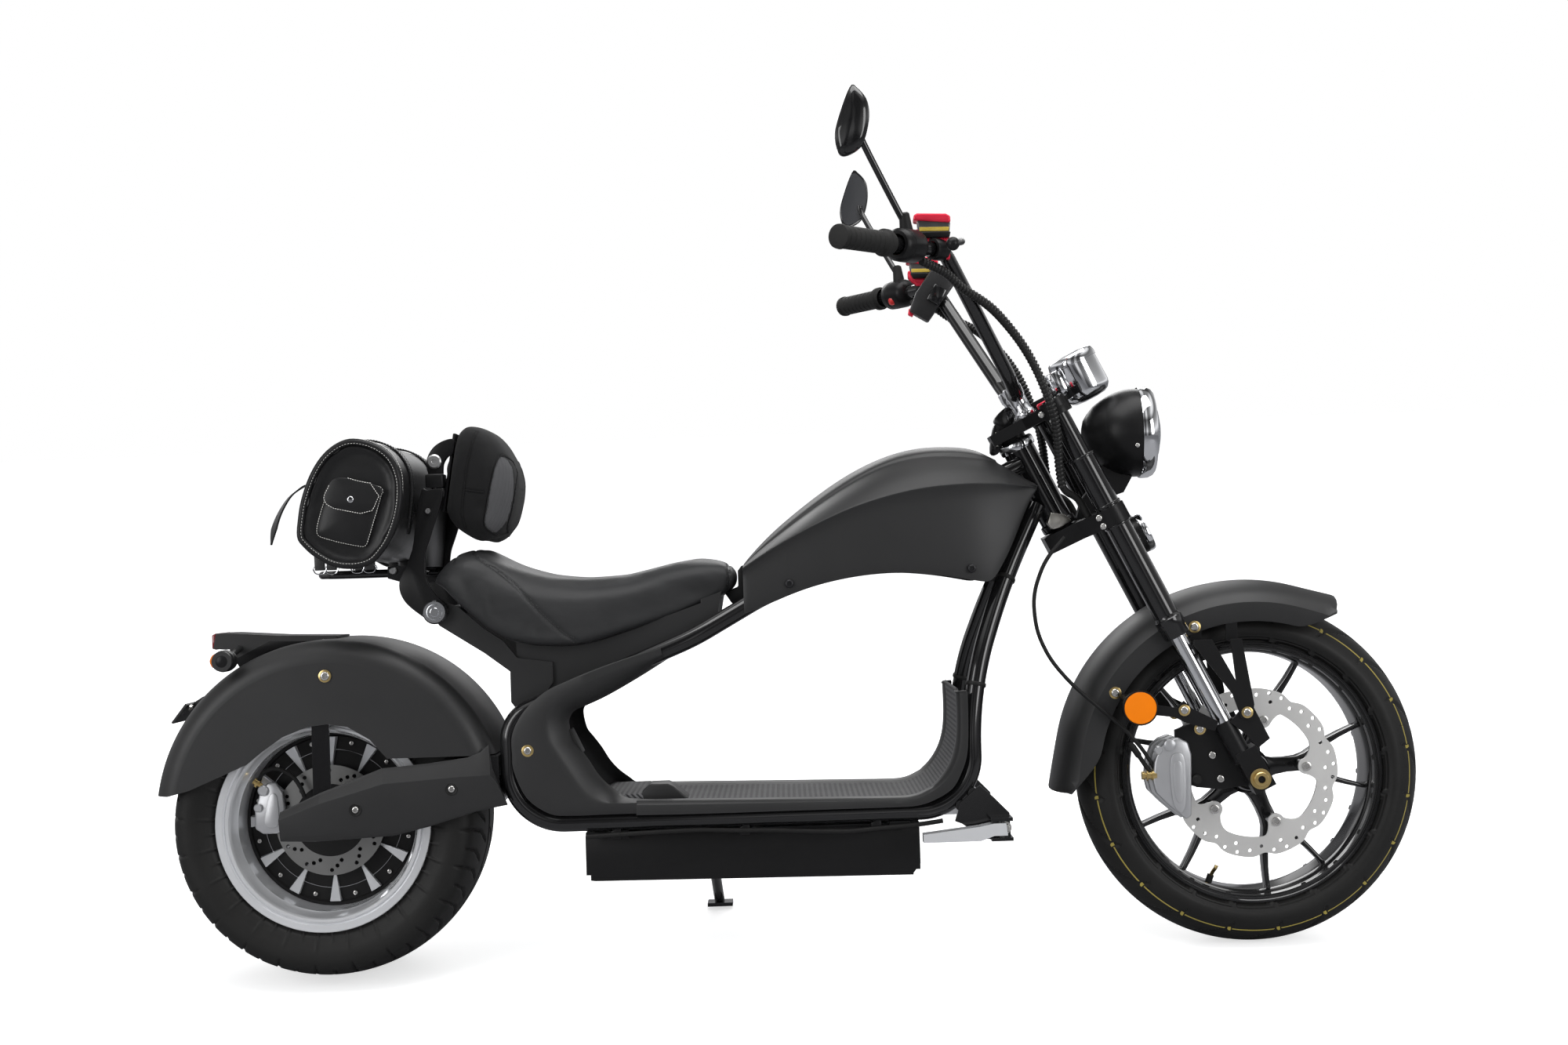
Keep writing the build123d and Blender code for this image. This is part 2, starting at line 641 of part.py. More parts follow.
FENDER_CENTRE = (REAR_AXLE.X + 14, REAR_AXLE.Z + 13.6)
FENDER_GAP = 24.6
FENDER_R = REAR_TYRE_R + FENDER_GAP
FENDER_HALF = 125.0
FENDER_WALL = 3.0
FENDER_CORNER = 34.0


def on_fender(angle, out):
    """Side-view point outside the fender's rim, angle in degrees from forward towards up."""
    radius = FENDER_R + out
    return (FENDER_CENTRE[0] + radius * cos(radians(angle)), FENDER_CENTRE[1] + radius * sin(radians(angle)))


skirt_reach = FENDER_R + 40
skirt_cut = [
    (-skirt_reach, 230), (-skirt_reach, 290), (-223, 290), (-191, 298), (-140, 319), (-104, 334),
    (-81, 352),
    (-50, 373), (-12, 387), (17, 390), (47, 385), (80, 365), (105, 336), (skirt_reach, 336),
    (skirt_reach, -90),
    (-skirt_reach, -90),
]


def fender_drum(radius, half, rounding):
    """Drum about the fender's centre with rounded rims."""
    with BuildPart() as drum:
        with BuildSketch(Plane.XZ.offset(half)):
            with Locations(FENDER_CENTRE):
                Circle(radius)
        extrude(amount=-2 * half)
        fillet(drum.edges().filter_by(GeomType.CIRCLE), rounding)
    return drum.part


drum_outside = fender_drum(FENDER_R, FENDER_HALF, FENDER_CORNER)
drum_inside = fender_drum(FENDER_R - FENDER_WALL, FENDER_HALF - FENDER_WALL, FENDER_CORNER - FENDER_WALL)
skirt_tool = side_plate(skirt_cut, -200, 200)
with BuildPart() as rear_fender:
    add(drum_outside)
    add(drum_inside, mode=Mode.SUBTRACT)
    add(skirt_tool, mode=Mode.SUBTRACT)

fender_clearance = fender_drum(FENDER_R + FIT, FENDER_HALF + FIT, FENDER_CORNER)
FENDER_TOP = FENDER_CENTRE[1] + FENDER_R
tail_side = [
    (16, 1), (16, 4), (-76, 7), (-140, 12), (-155, 13), (-171, 13), (-175, -10), (-156, -12),
    (-140, -11), (-140, -26), (-89, -1), (-30, -3), (-4, -5),
]
tail_side = [(x, FENDER_TOP + z) for x, z in tail_side]
PLATE_T = 3.0
PLATE_HOLE_R = 3.5
x, z = on_fender(149.86, 23.8)
PLATE_LOW = Vector(x, 0, z)
x, z = on_fender(142.73, 21.0)
PLATE_TOP = Vector(x, 0, z)
PLATE_NORMAL = (PLATE_TOP - PLATE_LOW).normalized().cross(Vector(0, 1, 0))
PLATE_HOLES = [(PLATE_LOW + PLATE_TOP) / 2 + Vector(0, side * 50, 0) for side in (-1, 1)]
PLATE_HOLES = [hole - PLATE_NORMAL * PLATE_T / 2 for hole in PLATE_HOLES]
plate_back = PLATE_NORMAL * PLATE_T
plate_corners = [PLATE_LOW, PLATE_TOP, PLATE_TOP - plate_back, PLATE_LOW - plate_back]
bracket_polar = [(143.45, 20.8), (139.4, 13.6), (136.27, -8.4), (144.04, -11.0), (145.83, 0.5)]
plate_bracket = [on_fender(angle, out) for angle, out in bracket_polar]
with BuildPart() as plate_and_lamps:
    add(side_plate(tail_side, -40, 40))
    add(both_sides(rod((-135, 38, FENDER_TOP - 10), (-135, 112, FENDER_TOP - 25), 10)))
    add(both_sides(rod((-133, 108, FENDER_TOP - 26), (-133, 140, FENDER_TOP - 26), 30)))
    add(side_plate([(corner.X, corner.Z) for corner in plate_corners], -66, 66))
    add(side_plate(plate_bracket, -30, 30))
    add(fender_clearance, mode=Mode.SUBTRACT)
    for hole in PLATE_HOLES:
        add(rod(hole - PLATE_NORMAL * 8, hole + PLATE_NORMAL * 8, 2 * PLATE_HOLE_R), mode=Mode.SUBTRACT)

caliper_plate = [
    (-16, 218), (20, 226), (20, 252), (-10, 262), (-70, 288), (-96, 280), (-96, 236), (-66, 226),
]
with BuildPart() as rear_caliper:
    add(side_plate([(-112, 222), (-112, 290), (-80, 300), (-66, 280), (-66, 222)], -62, -33))
    inner, outer, rim_gap = REAR_DISC_Y - PAD_GAP, REAR_DISC_Y + DISC_T + PAD_GAP, REAR_DISC_R + 3
    slot = [(inner, 0), (inner, rim_gap), (outer, rim_gap), (outer, 0)]
    add(turned(slot, REAR_AXLE), mode=Mode.SUBTRACT)
    add(side_plate(caliper_plate, -70, -60))
    add(rod((0, -90, REAR_AXLE.Z), (0, -50, REAR_AXLE.Z), SPACER_D + 2 * FIT), mode=Mode.SUBTRACT)

# ---------------------------------------------------------------- fork and steering
LEG_D = 38.0
YOKE_LOW = (-172, -145)
YOKE_TOP = (16, 34)


def leg(low, high, diameter):
    """Matching pieces of both fork legs."""
    return both_sides(rod(steer(FORK_OFFSET, FORK_HALF, low), steer(FORK_OFFSET, FORK_HALF, high), diameter))


low_outline = [(-33, 30), (20, 60), (50, 112), (90, 112), (92, 80), (60, 40)]
low_outline += [(ahead, -across) for ahead, across in reversed(low_outline)]
with BuildPart() as fork_yokes:
    add(slab(low_outline, *YOKE_LOW))
    add(slab([(x, y * 0.98) for x, y in low_outline], *YOKE_TOP))
    add(leg(YOKE_TOP[0] - 3, YOKE_TOP[1] + 4, 44))
    add(leg(*YOKE_LOW, 46))
    add(leg(YOKE_TOP[0] - 4, YOKE_TOP[1] + 5, 30.2), mode=Mode.SUBTRACT)
    add(leg(YOKE_LOW[0] - 1, YOKE_LOW[1] + 1, LEG_D + 0.2), mode=Mode.SUBTRACT)
    add(rod(steer(0, 0, YOKE_LOW[1]), steer(0, 0, -135 - FIT), 40))
    add(rod(steer(0, 0, -2 + FIT), steer(0, 0, YOKE_TOP[0]), 40))

with BuildPart() as fork_tubes:
    add(leg(-60, 40, 30))
    add(leg(-335, -60, LEG_D))

LUG_TOP = -509.0
with BuildPart() as fork_sliders:
    add(leg(LUG_TOP + FIT, -335 - FIT, 27))

LEG_OUT = FORK_HALF + 15.5
lug_foot = AXLE_LOCAL.Z - 18
lug_outline = [(-17, 80), (17, 80), (17, LEG_OUT), (-17, LEG_OUT)]
ear_outline = by_axle((-42, 86), (-17, 112), (-6, 106), (16, 60), (-2, 46), (-18, 66))
caliper_carrier = by_axle((-120, 73), (-97, 82), (-46, 80), (-3, -12), (-55, -18), (-90, -14), (-120, -2))
with BuildPart() as fork_lugs:
    add(leg(-575, LUG_TOP, 31))
    add(both_sides(slab([(AXLE_LOCAL.X + x, y) for x, y in lug_outline], lug_foot, -560)))
    add(both_sides(side_plate(ear_outline, 106, LEG_OUT)))
    add(side_plate(caliper_carrier, -84, -76))
    for start, end, diameter in ((-118, 118, 2 * AXLE_R), (-81, -59, 26), (52, 81, 26)):
        add(rod(FRONT_AXLE + Vector(0, start, 0), FRONT_AXLE + Vector(0, end, 0), diameter))

FF_GAP = 28.0
FF_R = FRONT_TYRE_R + FF_GAP
FF_EDGE_R = FF_R - 55
FF_HALF = 80.0
FF_WALL = 3.0
FF_START = 62.0
FF_END = 184.0
fender_section = [(-FF_HALF, FF_EDGE_R), (-FF_HALF, FF_R - 29), (-46, FF_R - 4), (0, FF_R)]
fender_section += [(-y, r) for y, r in reversed(fender_section[:-1])]
inner_section = [(y * 0.965, r - (FF_WALL if r > FF_EDGE_R else 0)) for y, r in reversed(fender_section)]
fender_start = Plane(origin=FRONT_AXLE, x_dir=(0, 1, 0), z_dir=(1, 0, 0)).rotated((0, 90 - FF_START, 0))
with BuildPart() as front_fender:
    with BuildSketch(fender_start):
        with BuildLine():
            Polyline(*fender_section, *inner_section, close=True)
        make_face()
    revolve(axis=Axis(FRONT_AXLE, (0, 1, 0)), revolution_arc=-(FF_END - FF_START))

STAY_IN = LEG_OUT + FIT
stay_top = FF_R - 81
stay_outline = by_axle(
    (-92, stay_top), (-65, stay_top), (-32, 148), (-38, stay_top), (-21, stay_top), (-6, 112), (-10, 88),
    (-26, 92), (-38, 128), (-92, stay_top - 8),
)
reflector_arm = by_axle(
    (-178, 103), (-125, 96), (-110, 88), (-66, 74), (-60, 88), (-98, 108), (-110, 120), (-122, 110),
    (-178, 119),
)
reflector = FRONT_AXLE + Vector(-176, STAY_IN, 112)
REFLECTOR_D = 52.0
fender_near = [(y + (FIT if y > 0 else -FIT if y < 0 else 0), r + FIT) for y, r in fender_section[1:-1]]
fender_block = [(-FF_HALF - FIT, 200), *fender_near, (FF_HALF + FIT, 200)]
with BuildPart() as fender_stays:
    add(both_sides(side_plate(stay_outline, STAY_IN, STAY_IN + 3)))
    for foot in (-92, -38):
        low, shelf_top, tab_top = stay_top - 8, stay_top - 4, stay_top + 26
        shelf = by_axle((foot, low), (foot, shelf_top), (foot + 17, shelf_top), (foot + 17, low))
        add(both_sides(side_plate(shelf, FF_HALF + FIT, STAY_IN + 3)))
        tab = by_axle((foot, low), (foot, tab_top), (foot + 17, tab_top), (foot + 17, low))
        add(both_sides(side_plate(tab, FF_HALF - 4, FF_HALF + 3)))
    add(both_sides(side_plate(reflector_arm, STAY_IN, STAY_IN + 4)))
    add(both_sides(rod(reflector + Vector(0, 2, 0), reflector + Vector(0, 12, 0), REFLECTOR_D)))
    arm_foot = Vector(reflector.X - 20, FF_HALF - 4, reflector.Z + 14)
    add(both_sides(rod(arm_foot, reflector + Vector(-8, 6, 6), 12)))
    with BuildSketch(fender_start):
        with BuildLine():
            Polyline(*fender_block, close=True)
        make_face()
    revolve(axis=Axis(FRONT_AXLE, (0, 1, 0)), revolution_arc=-(FF_END - FF_START), mode=Mode.SUBTRACT)

BANJO = FRONT_AXLE + Vector(-146, -76, 6)
BANJO_R = 7.0
caliper_side = by_axle(
    (-117, 63), (-102, 55), (-102, -56), (-109, -59), (-135, -32), (-154, -20), (-152, 30), (-144, 48),
)
with BuildPart() as front_caliper:
    add(side_plate(caliper_side, -76 + FIT, -38))
    add(rod(BANJO + Vector(0, -9, 0), BANJO + Vector(0, 6, 0), 2 * BANJO_R))
    inner, outer, rim_gap = FRONT_DISC_Y - PAD_GAP, FRONT_DISC_Y + DISC_T + PAD_GAP, FRONT_DISC_R + 3
    slot = [(inner, 0), (inner, rim_gap), (outer, rim_gap), (outer, 0)]
    add(turned(slot, FRONT_AXLE), mode=Mode.SUBTRACT)

LAMP = HEAD_TOP + Vector(187, 0, 15)
BUCKET_R = 68.0
BUCKET_L = 86.0
lamp_face = Plane(origin=LAMP, x_dir=(1, 0, 0), z_dir=(0, -1, 0))
bracket_side = [
    (-58, -50), (-10, -64), (-26, -92), (-57, -102), (-69.7, -118.8), (-101.1, -134.1), (-92, -102),
    (-72, -77),
]
with BuildPart() as headlight_bucket:
    with BuildSketch(lamp_face):
        with BuildLine():
            Polyline((-BUCKET_L, 0), (0, 0), (0, BUCKET_R))
            Spline((0, BUCKET_R), (-46, BUCKET_R - 10), (9 - BUCKET_L, 28), (-BUCKET_L, 0))
        make_face()
    revolve(axis=Axis(LAMP, (1, 0, 0)))
    add(side_plate([(LAMP.X + x, LAMP.Z + z) for x, z in bracket_side], -12, 12))

with BuildPart() as headlight_lens:
    with BuildSketch(lamp_face):
        with BuildLine():
            Polyline((FIT, 0), (FIT, BUCKET_R + 2), (16, BUCKET_R - 2), (30, 38), (35, 0), close=True)
        make_face()
    revolve(axis=Axis(LAMP, (1, 0, 0)))

with BuildPart() as speedometer:
    add(rod(steer(137, 0, 14), steer(137, 0, 88), 74))
    add(slab([(45, -14), (45, 14), (112, 14), (112, -14)], YOKE_TOP[1] + FIT, YOKE_TOP[1] + 5))

with BuildPart() as horn:
    add(rod(steer(98, 0, -209), steer(114, 0, -209), 62))
    add(slab([(60 + FIT, -10), (60 + FIT, 10), (102, 10), (102, -10)], -172, -168))
    add(slab([(98, -10), (98, 10), (102, 10), (102, -10)], -190, -168))
    add(slab([(60 + FIT, -10), (60 + FIT, 10), (64, 10), (64, -10)], -170, -150))

BAR_D = 22.0
bar_bends = [(-260, 392, 277), (-113, 200, 280), (-17, 92, 103), (-3, 60, 76)]
bar_path = [head_point(*bend) for bend in bar_bends]
full_bar = [(x, -y, z) for x, y, z in bar_path] + bar_path[::-1]
bar_room = tube(full_bar, BAR_D + 0.2, 30)
with BuildPart() as handlebar:
    add(tube(full_bar, BAR_D, 30))
    add(both_sides(rod(steer(30, 45, YOKE_TOP[1] + FIT), steer(30, 45, 72), 26)))

with BuildPart() as grips:
    add(both_sides(rod(head_point(-266, 400, 277), head_point(-194, 305.8, 278.5), 31)))
    add(bar_room, mode=Mode.SUBTRACT)

reservoir_side = by_head((-155, 331), (-109, 332), (-104, 312), (-107, 297), (-137, 297), (-150, 314))
clamp_side = by_head((-139, 263), (-139, 299), (-85, 299), (-85, 283), (-109, 277), (-109, 263))
box_side = by_head((-112, 313), (-73, 289), (-125, 219), (-156, 238), (-144, 268))
lever_path = [head_point(*point) for point in ((-91, 214, 291), (-87, 238, 287), (-107, 330, 269))]
lever_ball = Pos(*lever_path[-1]) * Sphere(8)
with BuildPart() as bar_controls:
    add(both_sides(rod(head_point(-182, 290, 279), head_point(-150, 248, 280), 46)))
    add(both_sides(rod(head_point(-167, 264, 289), head_point(-169, 266, 311), 18)))
    add(both_sides(side_plate(reservoir_side, 199, 232)))
    add(both_sides(side_plate(clamp_side, 208, 224)))
    add(both_sides(tube(lever_path, 11, 20)))
    add(both_sides(lever_ball))
    add(side_plate(box_side, 168, 196))
    add(bar_room, mode=Mode.SUBTRACT)

mirror_side = by_head((-243, 499), (-264, 442), (-260, 405), (-227, 413), (-217, 454), (-230, 495))
MIRROR_Y = 306.0
with BuildPart() as mirrors:
    add(both_sides(rod(head_point(-170, 267, 313.3), head_point(-227, MIRROR_Y, 423), 10)))
    add(both_sides(rod(head_point(-227, MIRROR_Y, 419), head_point(-232, MIRROR_Y + 3, 445), 10)))
    add(both_sides(side_plate(mirror_side, MIRROR_Y, MIRROR_Y + 16)))

LOOM_D = 11.0
HOSE_D = 6.0
# Routes measured from the steering head, from the bar housings and the lower yoke downwards
loom_route = [
    (-148.5, -246.3, 261), (-113, -213, 247), (-87, -192, 226), (-43, -162, 198), (-5, -139, 155),
    (19, -128, 115), (35, -127, 75), (45, -126, 42), (51, -116, 3), (53, -104, -33), (58, -96, -73),
]
hose_route = [
    (59, -88, -143), (27, -98, -177), (7, -100, -229), (11, -100, -283), (29, -99, -325),
    (61, -97, -365), (101, -95, -401), (137, -92, -433), (166, -86, -467),
]
loom = [head_point(*point) for point in loom_route]
loom += [tuple(steer(38, -80, -112)), tuple(steer(38, -80, YOKE_LOW[1] + FIT))]
hose = [head_point(*point) for point in hose_route] + [tuple(BANJO + Vector(-4.12, -5, 6.53))]
with BuildPart() as control_cables:
    add(cable(hose, HOSE_D))
    add(cable(loom, LOOM_D))
    add(cable([(x, -y, z) for x, y, z in loom], LOOM_D))

# ---------------------------------------------------------------- cables under the floor
floor_cable = [
    (398, -122, 210), (454, -121, 212), (512, -123, 214), (567, -121, 215), (618, -121, 212),
    (671, -122, 211),
    (731, -120, 207), (791, -122, 205), (830, -121, 208), (866, -121, 210), (900, -119, 212),
    (929, -120, 216),
]
with BuildPart() as underfloor_cables:
    add(cable(floor_cable, 7))

# ---------------------------------------------------------------- stand and pegs
STAND_FOOT = Vector(578, 254, 41.7)
stand_knee = STAND_PIVOT + Vector(0, cos(radians(STAND_SPLAY)), -sin(radians(STAND_SPLAY))) * 45
with BuildPart() as side_stand:
    add(tube([tuple(STAND_PIVOT), tuple(stand_knee), tuple(STAND_FOOT)], 17, 40))
    add(rod(STAND_PIVOT - STAND_AXIS * EYE_HALF, STAND_PIVOT + STAND_AXIS * EYE_HALF, 30))
    add(side_plate([(558, 36.7), (558, 42.7), (600, 42.7), (600, 36.7)], 235, 272))
    bore = 2 * (STAND_PIN_R + RUN)
    add(rod(STAND_PIVOT - STAND_AXIS * 20, STAND_PIVOT + STAND_AXIS * 20, bore), mode=Mode.SUBTRACT)

peg_side = by_peg((-116, -16), (-116, -4), (-32, 5), (-12, 9), (6, 9), (8, -9), (-12, -9), (-32, -16))
peg_blank = side_plate(peg_side, PEG_PIVOT.Y - PEG_HALF, PEG_PIVOT.Y + PEG_HALF)
peg_bore = rod(PEG_PIVOT - Vector(0, 0, 30), PEG_PIVOT + Vector(0, 0, 30), 2 * (PEG_PIN_R + RUN))
with BuildPart() as peg_left:
    add(peg_blank)
    add(peg_bore, mode=Mode.SUBTRACT)
with BuildPart() as peg_right:
    mirror(peg_left.part, about=Plane.XZ)

# ---------------------------------------------------------------- stand pose and export
FRAME_PIECES = {
    "frame_loops": frame_loops,
    "frame_spine": frame_spine,
    "battery_box": battery_box,
    "floor_tray": floor_tray,
    "floor_mat": floor_mat,
    "side_covers": side_covers,
    "seat": seat,
    "seat_mount": seat_mount,
    "tank_shell": tank_shell,
    "backrest_post": backrest_post,
    "backrest_pad": backrest_pad,
    "luggage_rack": luggage_rack,
    "roll_bag": roll_bag,
    "swing_arm": swing_arm,
    "swing_arm_covers": swing_arm_covers,
    "rear_fender": rear_fender,
    "plate_and_lamps": plate_and_lamps,
    "rear_caliper": rear_caliper,
    "underfloor_cables": underfloor_cables,
    "rear_tyre": rear_tyre,
    "rear_rim": rear_rim,
    "hub_motor": hub_motor,
    "rear_brake_disc": rear_brake_disc,
    "side_stand": side_stand,
    "peg_left": peg_left,
    "peg_right": peg_right,
}
STEERED_PIECES = {
    "fork_yokes": fork_yokes,
    "fork_tubes": fork_tubes,
    "fork_sliders": fork_sliders,
    "fork_lugs": fork_lugs,
    "front_fender": front_fender,
    "fender_stays": fender_stays,
    "front_caliper": front_caliper,
    "headlight_bucket": headlight_bucket,
    "headlight_lens": headlight_lens,
    "speedometer": speedometer,
    "horn": horn,
    "handlebar": handlebar,
    "grips": grips,
    "bar_controls": bar_controls,
    "mirrors": mirrors,
    "control_cables": control_cables,
    "front_tyre": front_tyre,
    "front_rim": front_rim,
    "front_brake_disc": front_brake_disc,
}


def contact_height(radius, crown, spin):
    """Height of a leaning tyre's centre above the ground, from its axle's direction."""
    return (radius - crown) * sqrt(1 - spin.Z**2) + crown


def pose_about_rear_axle(pitch):
    """Pitch, then lean, about the rear axle's centre, which stays at the origin."""
    lean = Location((0, 0, 0), (-LEAN, 0, 0))
    return lean * Location((0, 0, 0), (0, pitch, 0)) * Location(-REAR_AXLE)


def moved(pose, point):
    """Where a pose takes a point."""
    return (pose * Location(point)).position


turn_pose = STEER.location * Location((0, 0, 0), (0, 0, -REST_TURN)) * STEER.location.inverse()
level_pose = pose_about_rear_axle(0)
rear_spin = moved(level_pose, REAR_AXLE + Vector(0, 1, 0))
front_rise = moved(level_pose * turn_pose, FRONT_AXLE)
front_spin = moved(level_pose * turn_pose, FRONT_AXLE + Vector(0, 1, 0)) - front_rise
rear_height = contact_height(REAR_TYRE_R, REAR_CROWN_R, rear_spin)
front_height = contact_height(FRONT_TYRE_R, FRONT_CROWN_R, front_spin)
PITCH = degrees((front_rise.Z - (front_height - rear_height)) / WHEELBASE / cos(radians(LEAN)))
stand_pose = Location((0, 0, rear_height)) * pose_about_rear_axle(PITCH)

posed = {name: stand_pose * piece.part for name, piece in FRAME_PIECES.items()}
posed.update({name: stand_pose * turn_pose * piece.part for name, piece in STEERED_PIECES.items()})
boxes = [piece.bounding_box() for piece in posed.values()]
centre_x = (min(box.min.X for box in boxes) + max(box.max.X for box in boxes)) / 2
centre_y = (min(box.min.Y for box in boxes) + max(box.max.Y for box in boxes)) / 2

os.makedirs("parts", exist_ok=True)
for name, piece in posed.items():
    settled = Location((-centre_x, -centre_y, 0)) * piece
    settled.label = name
    export_step(settled, f"parts/{name}.step")
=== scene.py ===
import math
import random

import bmesh
import bpy
from mathutils import Matrix, Vector
from mathutils.kdtree import KDTree


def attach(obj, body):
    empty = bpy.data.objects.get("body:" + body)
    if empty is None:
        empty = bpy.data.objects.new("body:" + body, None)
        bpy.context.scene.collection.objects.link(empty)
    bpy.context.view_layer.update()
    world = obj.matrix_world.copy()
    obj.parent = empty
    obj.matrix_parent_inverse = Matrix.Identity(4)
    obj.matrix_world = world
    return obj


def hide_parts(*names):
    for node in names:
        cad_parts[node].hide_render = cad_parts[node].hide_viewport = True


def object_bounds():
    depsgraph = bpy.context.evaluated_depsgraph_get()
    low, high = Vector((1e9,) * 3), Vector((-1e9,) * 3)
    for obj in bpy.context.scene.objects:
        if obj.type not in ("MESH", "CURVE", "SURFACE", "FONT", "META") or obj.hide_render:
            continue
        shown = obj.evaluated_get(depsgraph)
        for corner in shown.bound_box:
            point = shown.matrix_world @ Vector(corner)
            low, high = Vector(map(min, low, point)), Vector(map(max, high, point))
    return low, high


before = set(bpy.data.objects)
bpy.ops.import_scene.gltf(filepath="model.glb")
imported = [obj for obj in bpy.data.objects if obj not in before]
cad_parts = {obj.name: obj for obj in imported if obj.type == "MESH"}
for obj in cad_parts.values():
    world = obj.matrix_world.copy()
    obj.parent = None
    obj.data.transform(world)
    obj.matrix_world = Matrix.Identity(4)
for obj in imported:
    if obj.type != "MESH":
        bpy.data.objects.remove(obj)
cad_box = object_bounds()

# ---- camera
# The view is square to the scooter's right side, at the height of its floor mat.
# The scooter leans away on its side stand, so the camera looks down by the lean.
bpy.ops.object.select_all(action='DESELECT')
bpy.ops.object.camera_add(location=(-0.0078, -2.9405, 0.9948),
                          rotation=(math.radians(83.480), math.radians(2.033), math.radians(-0.286)))
camera = bpy.context.object
camera.name = "camera"
camera.data.sensor_width = 36.0
camera.data.lens = 42.7
bpy.context.scene.camera = camera

# ---- studio
# A pale floor under a white sky, with wide soft panels overhead and at the sides.
# The sky is paler at the horizon than overhead, which gives chrome and gloss black their form.
bpy.ops.mesh.primitive_plane_add(size=24.0, location=(0, 0, 0))
floor = bpy.context.object
floor.name = "studio_floor"


def feed(node, inputs):
    """Sets each input of a shader node to a value, or joins it to the output that feeds it."""
    for name, value in inputs.items():
        socket = node.inputs[name]
        if isinstance(value, bpy.types.Node):
            value = value.outputs[0]
        if isinstance(value, bpy.types.NodeSocket):
            node.id_data.links.new(value, socket)
        else:
            socket.default_value = (*value, 1) if socket.type == 'RGBA' else value


def add_node(tree, kind, inputs=None, **settings):
    """A new shader node with its settings and its inputs."""
    node = tree.nodes.new("ShaderNode" + kind)
    for name, value in settings.items():
        setattr(node, name, value)
    feed(node, inputs or {})
    return node


def blend(tree, share, first, second, way='MIX'):
    """Two colours mixed by a share."""
    return add_node(tree, "Mix", {0: share, 6: first, 7: second}, data_type='RGBA',
                    blend_type=way).outputs[2]


def maths(tree, operation, *terms, clamp=False):
    """A sum, product or the like of values and outputs."""
    return add_node(tree, "Math", dict(enumerate(terms)), operation=operation, use_clamp=clamp)


def new_material(name, inputs):
    """A material, its node tree and its main shader with these inputs."""
    material = bpy.data.materials.new(name)
    material.use_nodes = True
    shader = material.node_tree.nodes["Principled BSDF"]
    feed(shader, inputs)
    return material, material.node_tree, shader


floor_paint, tree, paint = new_material("studio_floor", {"Roughness": 0.9, "Specular IOR Level": 0.1})
mottle = add_node(tree, "TexNoise", {"Scale": 3.0})
feed(paint, {"Base Color": blend(tree, mottle, (0.80, 0.80, 0.80), (0.82, 0.82, 0.82))})
rays = add_node(tree, "LightPath")
glow = add_node(tree, "Emission", {"Strength": 0.62})
lit = add_node(tree, "AddShader", {0: paint, 1: glow})
shown = add_node(tree, "MixShader", {0: rays.outputs["Is Camera Ray"], 1: paint, 2: lit})
dark = add_node(tree, "BsdfDiffuse", {"Color": (0.30, 0.30, 0.31)})
mirrored = add_node(tree, "MixShader", {0: rays.outputs["Is Glossy Ray"], 1: shown, 2: dark})
feed(tree.nodes["Material Output"], {0: mirrored})
floor.data.materials.append(floor_paint)

sky = bpy.data.worlds.new("studio_sky")
bpy.context.scene.world = sky
sky.use_nodes = True
tree = sky.node_tree
tree.nodes.clear()


def sky_bands(height, bands):
    """A ramp of colours or greys over the sky, each at its own height."""
    ramp = add_node(tree, "ValToRGB", {0: height})
    stops = ramp.color_ramp.elements
    for k, (position, tone) in enumerate(bands):
        stop = stops[k] if k < 2 else stops.new(position)
        stop.position = position
        stop.color = (*tone, 1) if isinstance(tone, tuple) else (tone, tone, tone, 1)
    return ramp


axes = add_node(tree, "SeparateXYZ", {0: add_node(tree, "TexCoord").outputs["Generated"]})
by_height = sky_bands(axes.outputs["Z"], ((0.0, (0.25, 0.25, 0.26)), (0.12, (0.95, 0.95, 0.96)),
                                          (0.34, 0.38), (0.58, 0.14), (0.74, 1.0), (0.84, 1.0),
                                          (1.0, 0.35)))
along_bike = maths(tree, 'MULTIPLY_ADD', axes.outputs["X"], 0.5, 0.5)
by_length = sky_bands(along_bike, ((0.30, 1.0), (0.37, (0.05, 0.05, 0.06)), (0.46, 0.05), (0.49, 0.85),
                                   (0.55, 0.85), (0.58, 0.06), (0.68, 0.12), (0.76, 1.0)))
mirrored_sky = add_node(tree, "Background", {"Color": blend(tree, 0.85, by_height, by_length, 'MULTIPLY')})
soft_light = add_node(tree, "Background", {"Color": (0.97, 0.98, 1.0), "Strength": 0.55})
white_sky = add_node(tree, "Background", {"Color": (1, 1, 1)})
rays = add_node(tree, "LightPath")
lit = add_node(tree, "MixShader", {0: rays.outputs["Is Glossy Ray"], 1: soft_light, 2: mirrored_sky})
seen = maths(tree, 'MAXIMUM', rays.outputs["Is Camera Ray"], rays.outputs["Is Transmission Ray"])
add_node(tree, "OutputWorld", {0: add_node(tree, "MixShader", {0: seen, 1: lit, 2: white_sky})})


def softbox(name, location, aim, width, height, power):
    """A wide soft light turned towards a point."""
    bpy.ops.object.light_add(type='AREA', location=location)
    lamp = bpy.context.object
    lamp.name = name
    lamp.data.shape = 'RECTANGLE'
    lamp.data.size = width
    lamp.data.size_y = height
    lamp.data.energy = power
    lamp.rotation_euler = (Vector(aim) - Vector(location)).to_track_quat('-Z', 'Y').to_euler()


softbox("overhead_panel", (0.2, -0.4, 3.2), (0, 0, 0.4), 3.2, 1.6, 70)
softbox("front_panel", (2.6, -2.6, 1.7), (0.1, 0, 0.5), 1.2, 2.0, 36)
softbox("rear_panel", (-2.6, -2.4, 1.6), (-0.1, 0, 0.5), 1.2, 2.0, 30)
softbox("far_panel", (0.0, 3.2, 2.0), (0, 0, 0.5), 3.0, 1.4, 40)

bpy.context.scene.view_settings.view_transform = 'Standard'

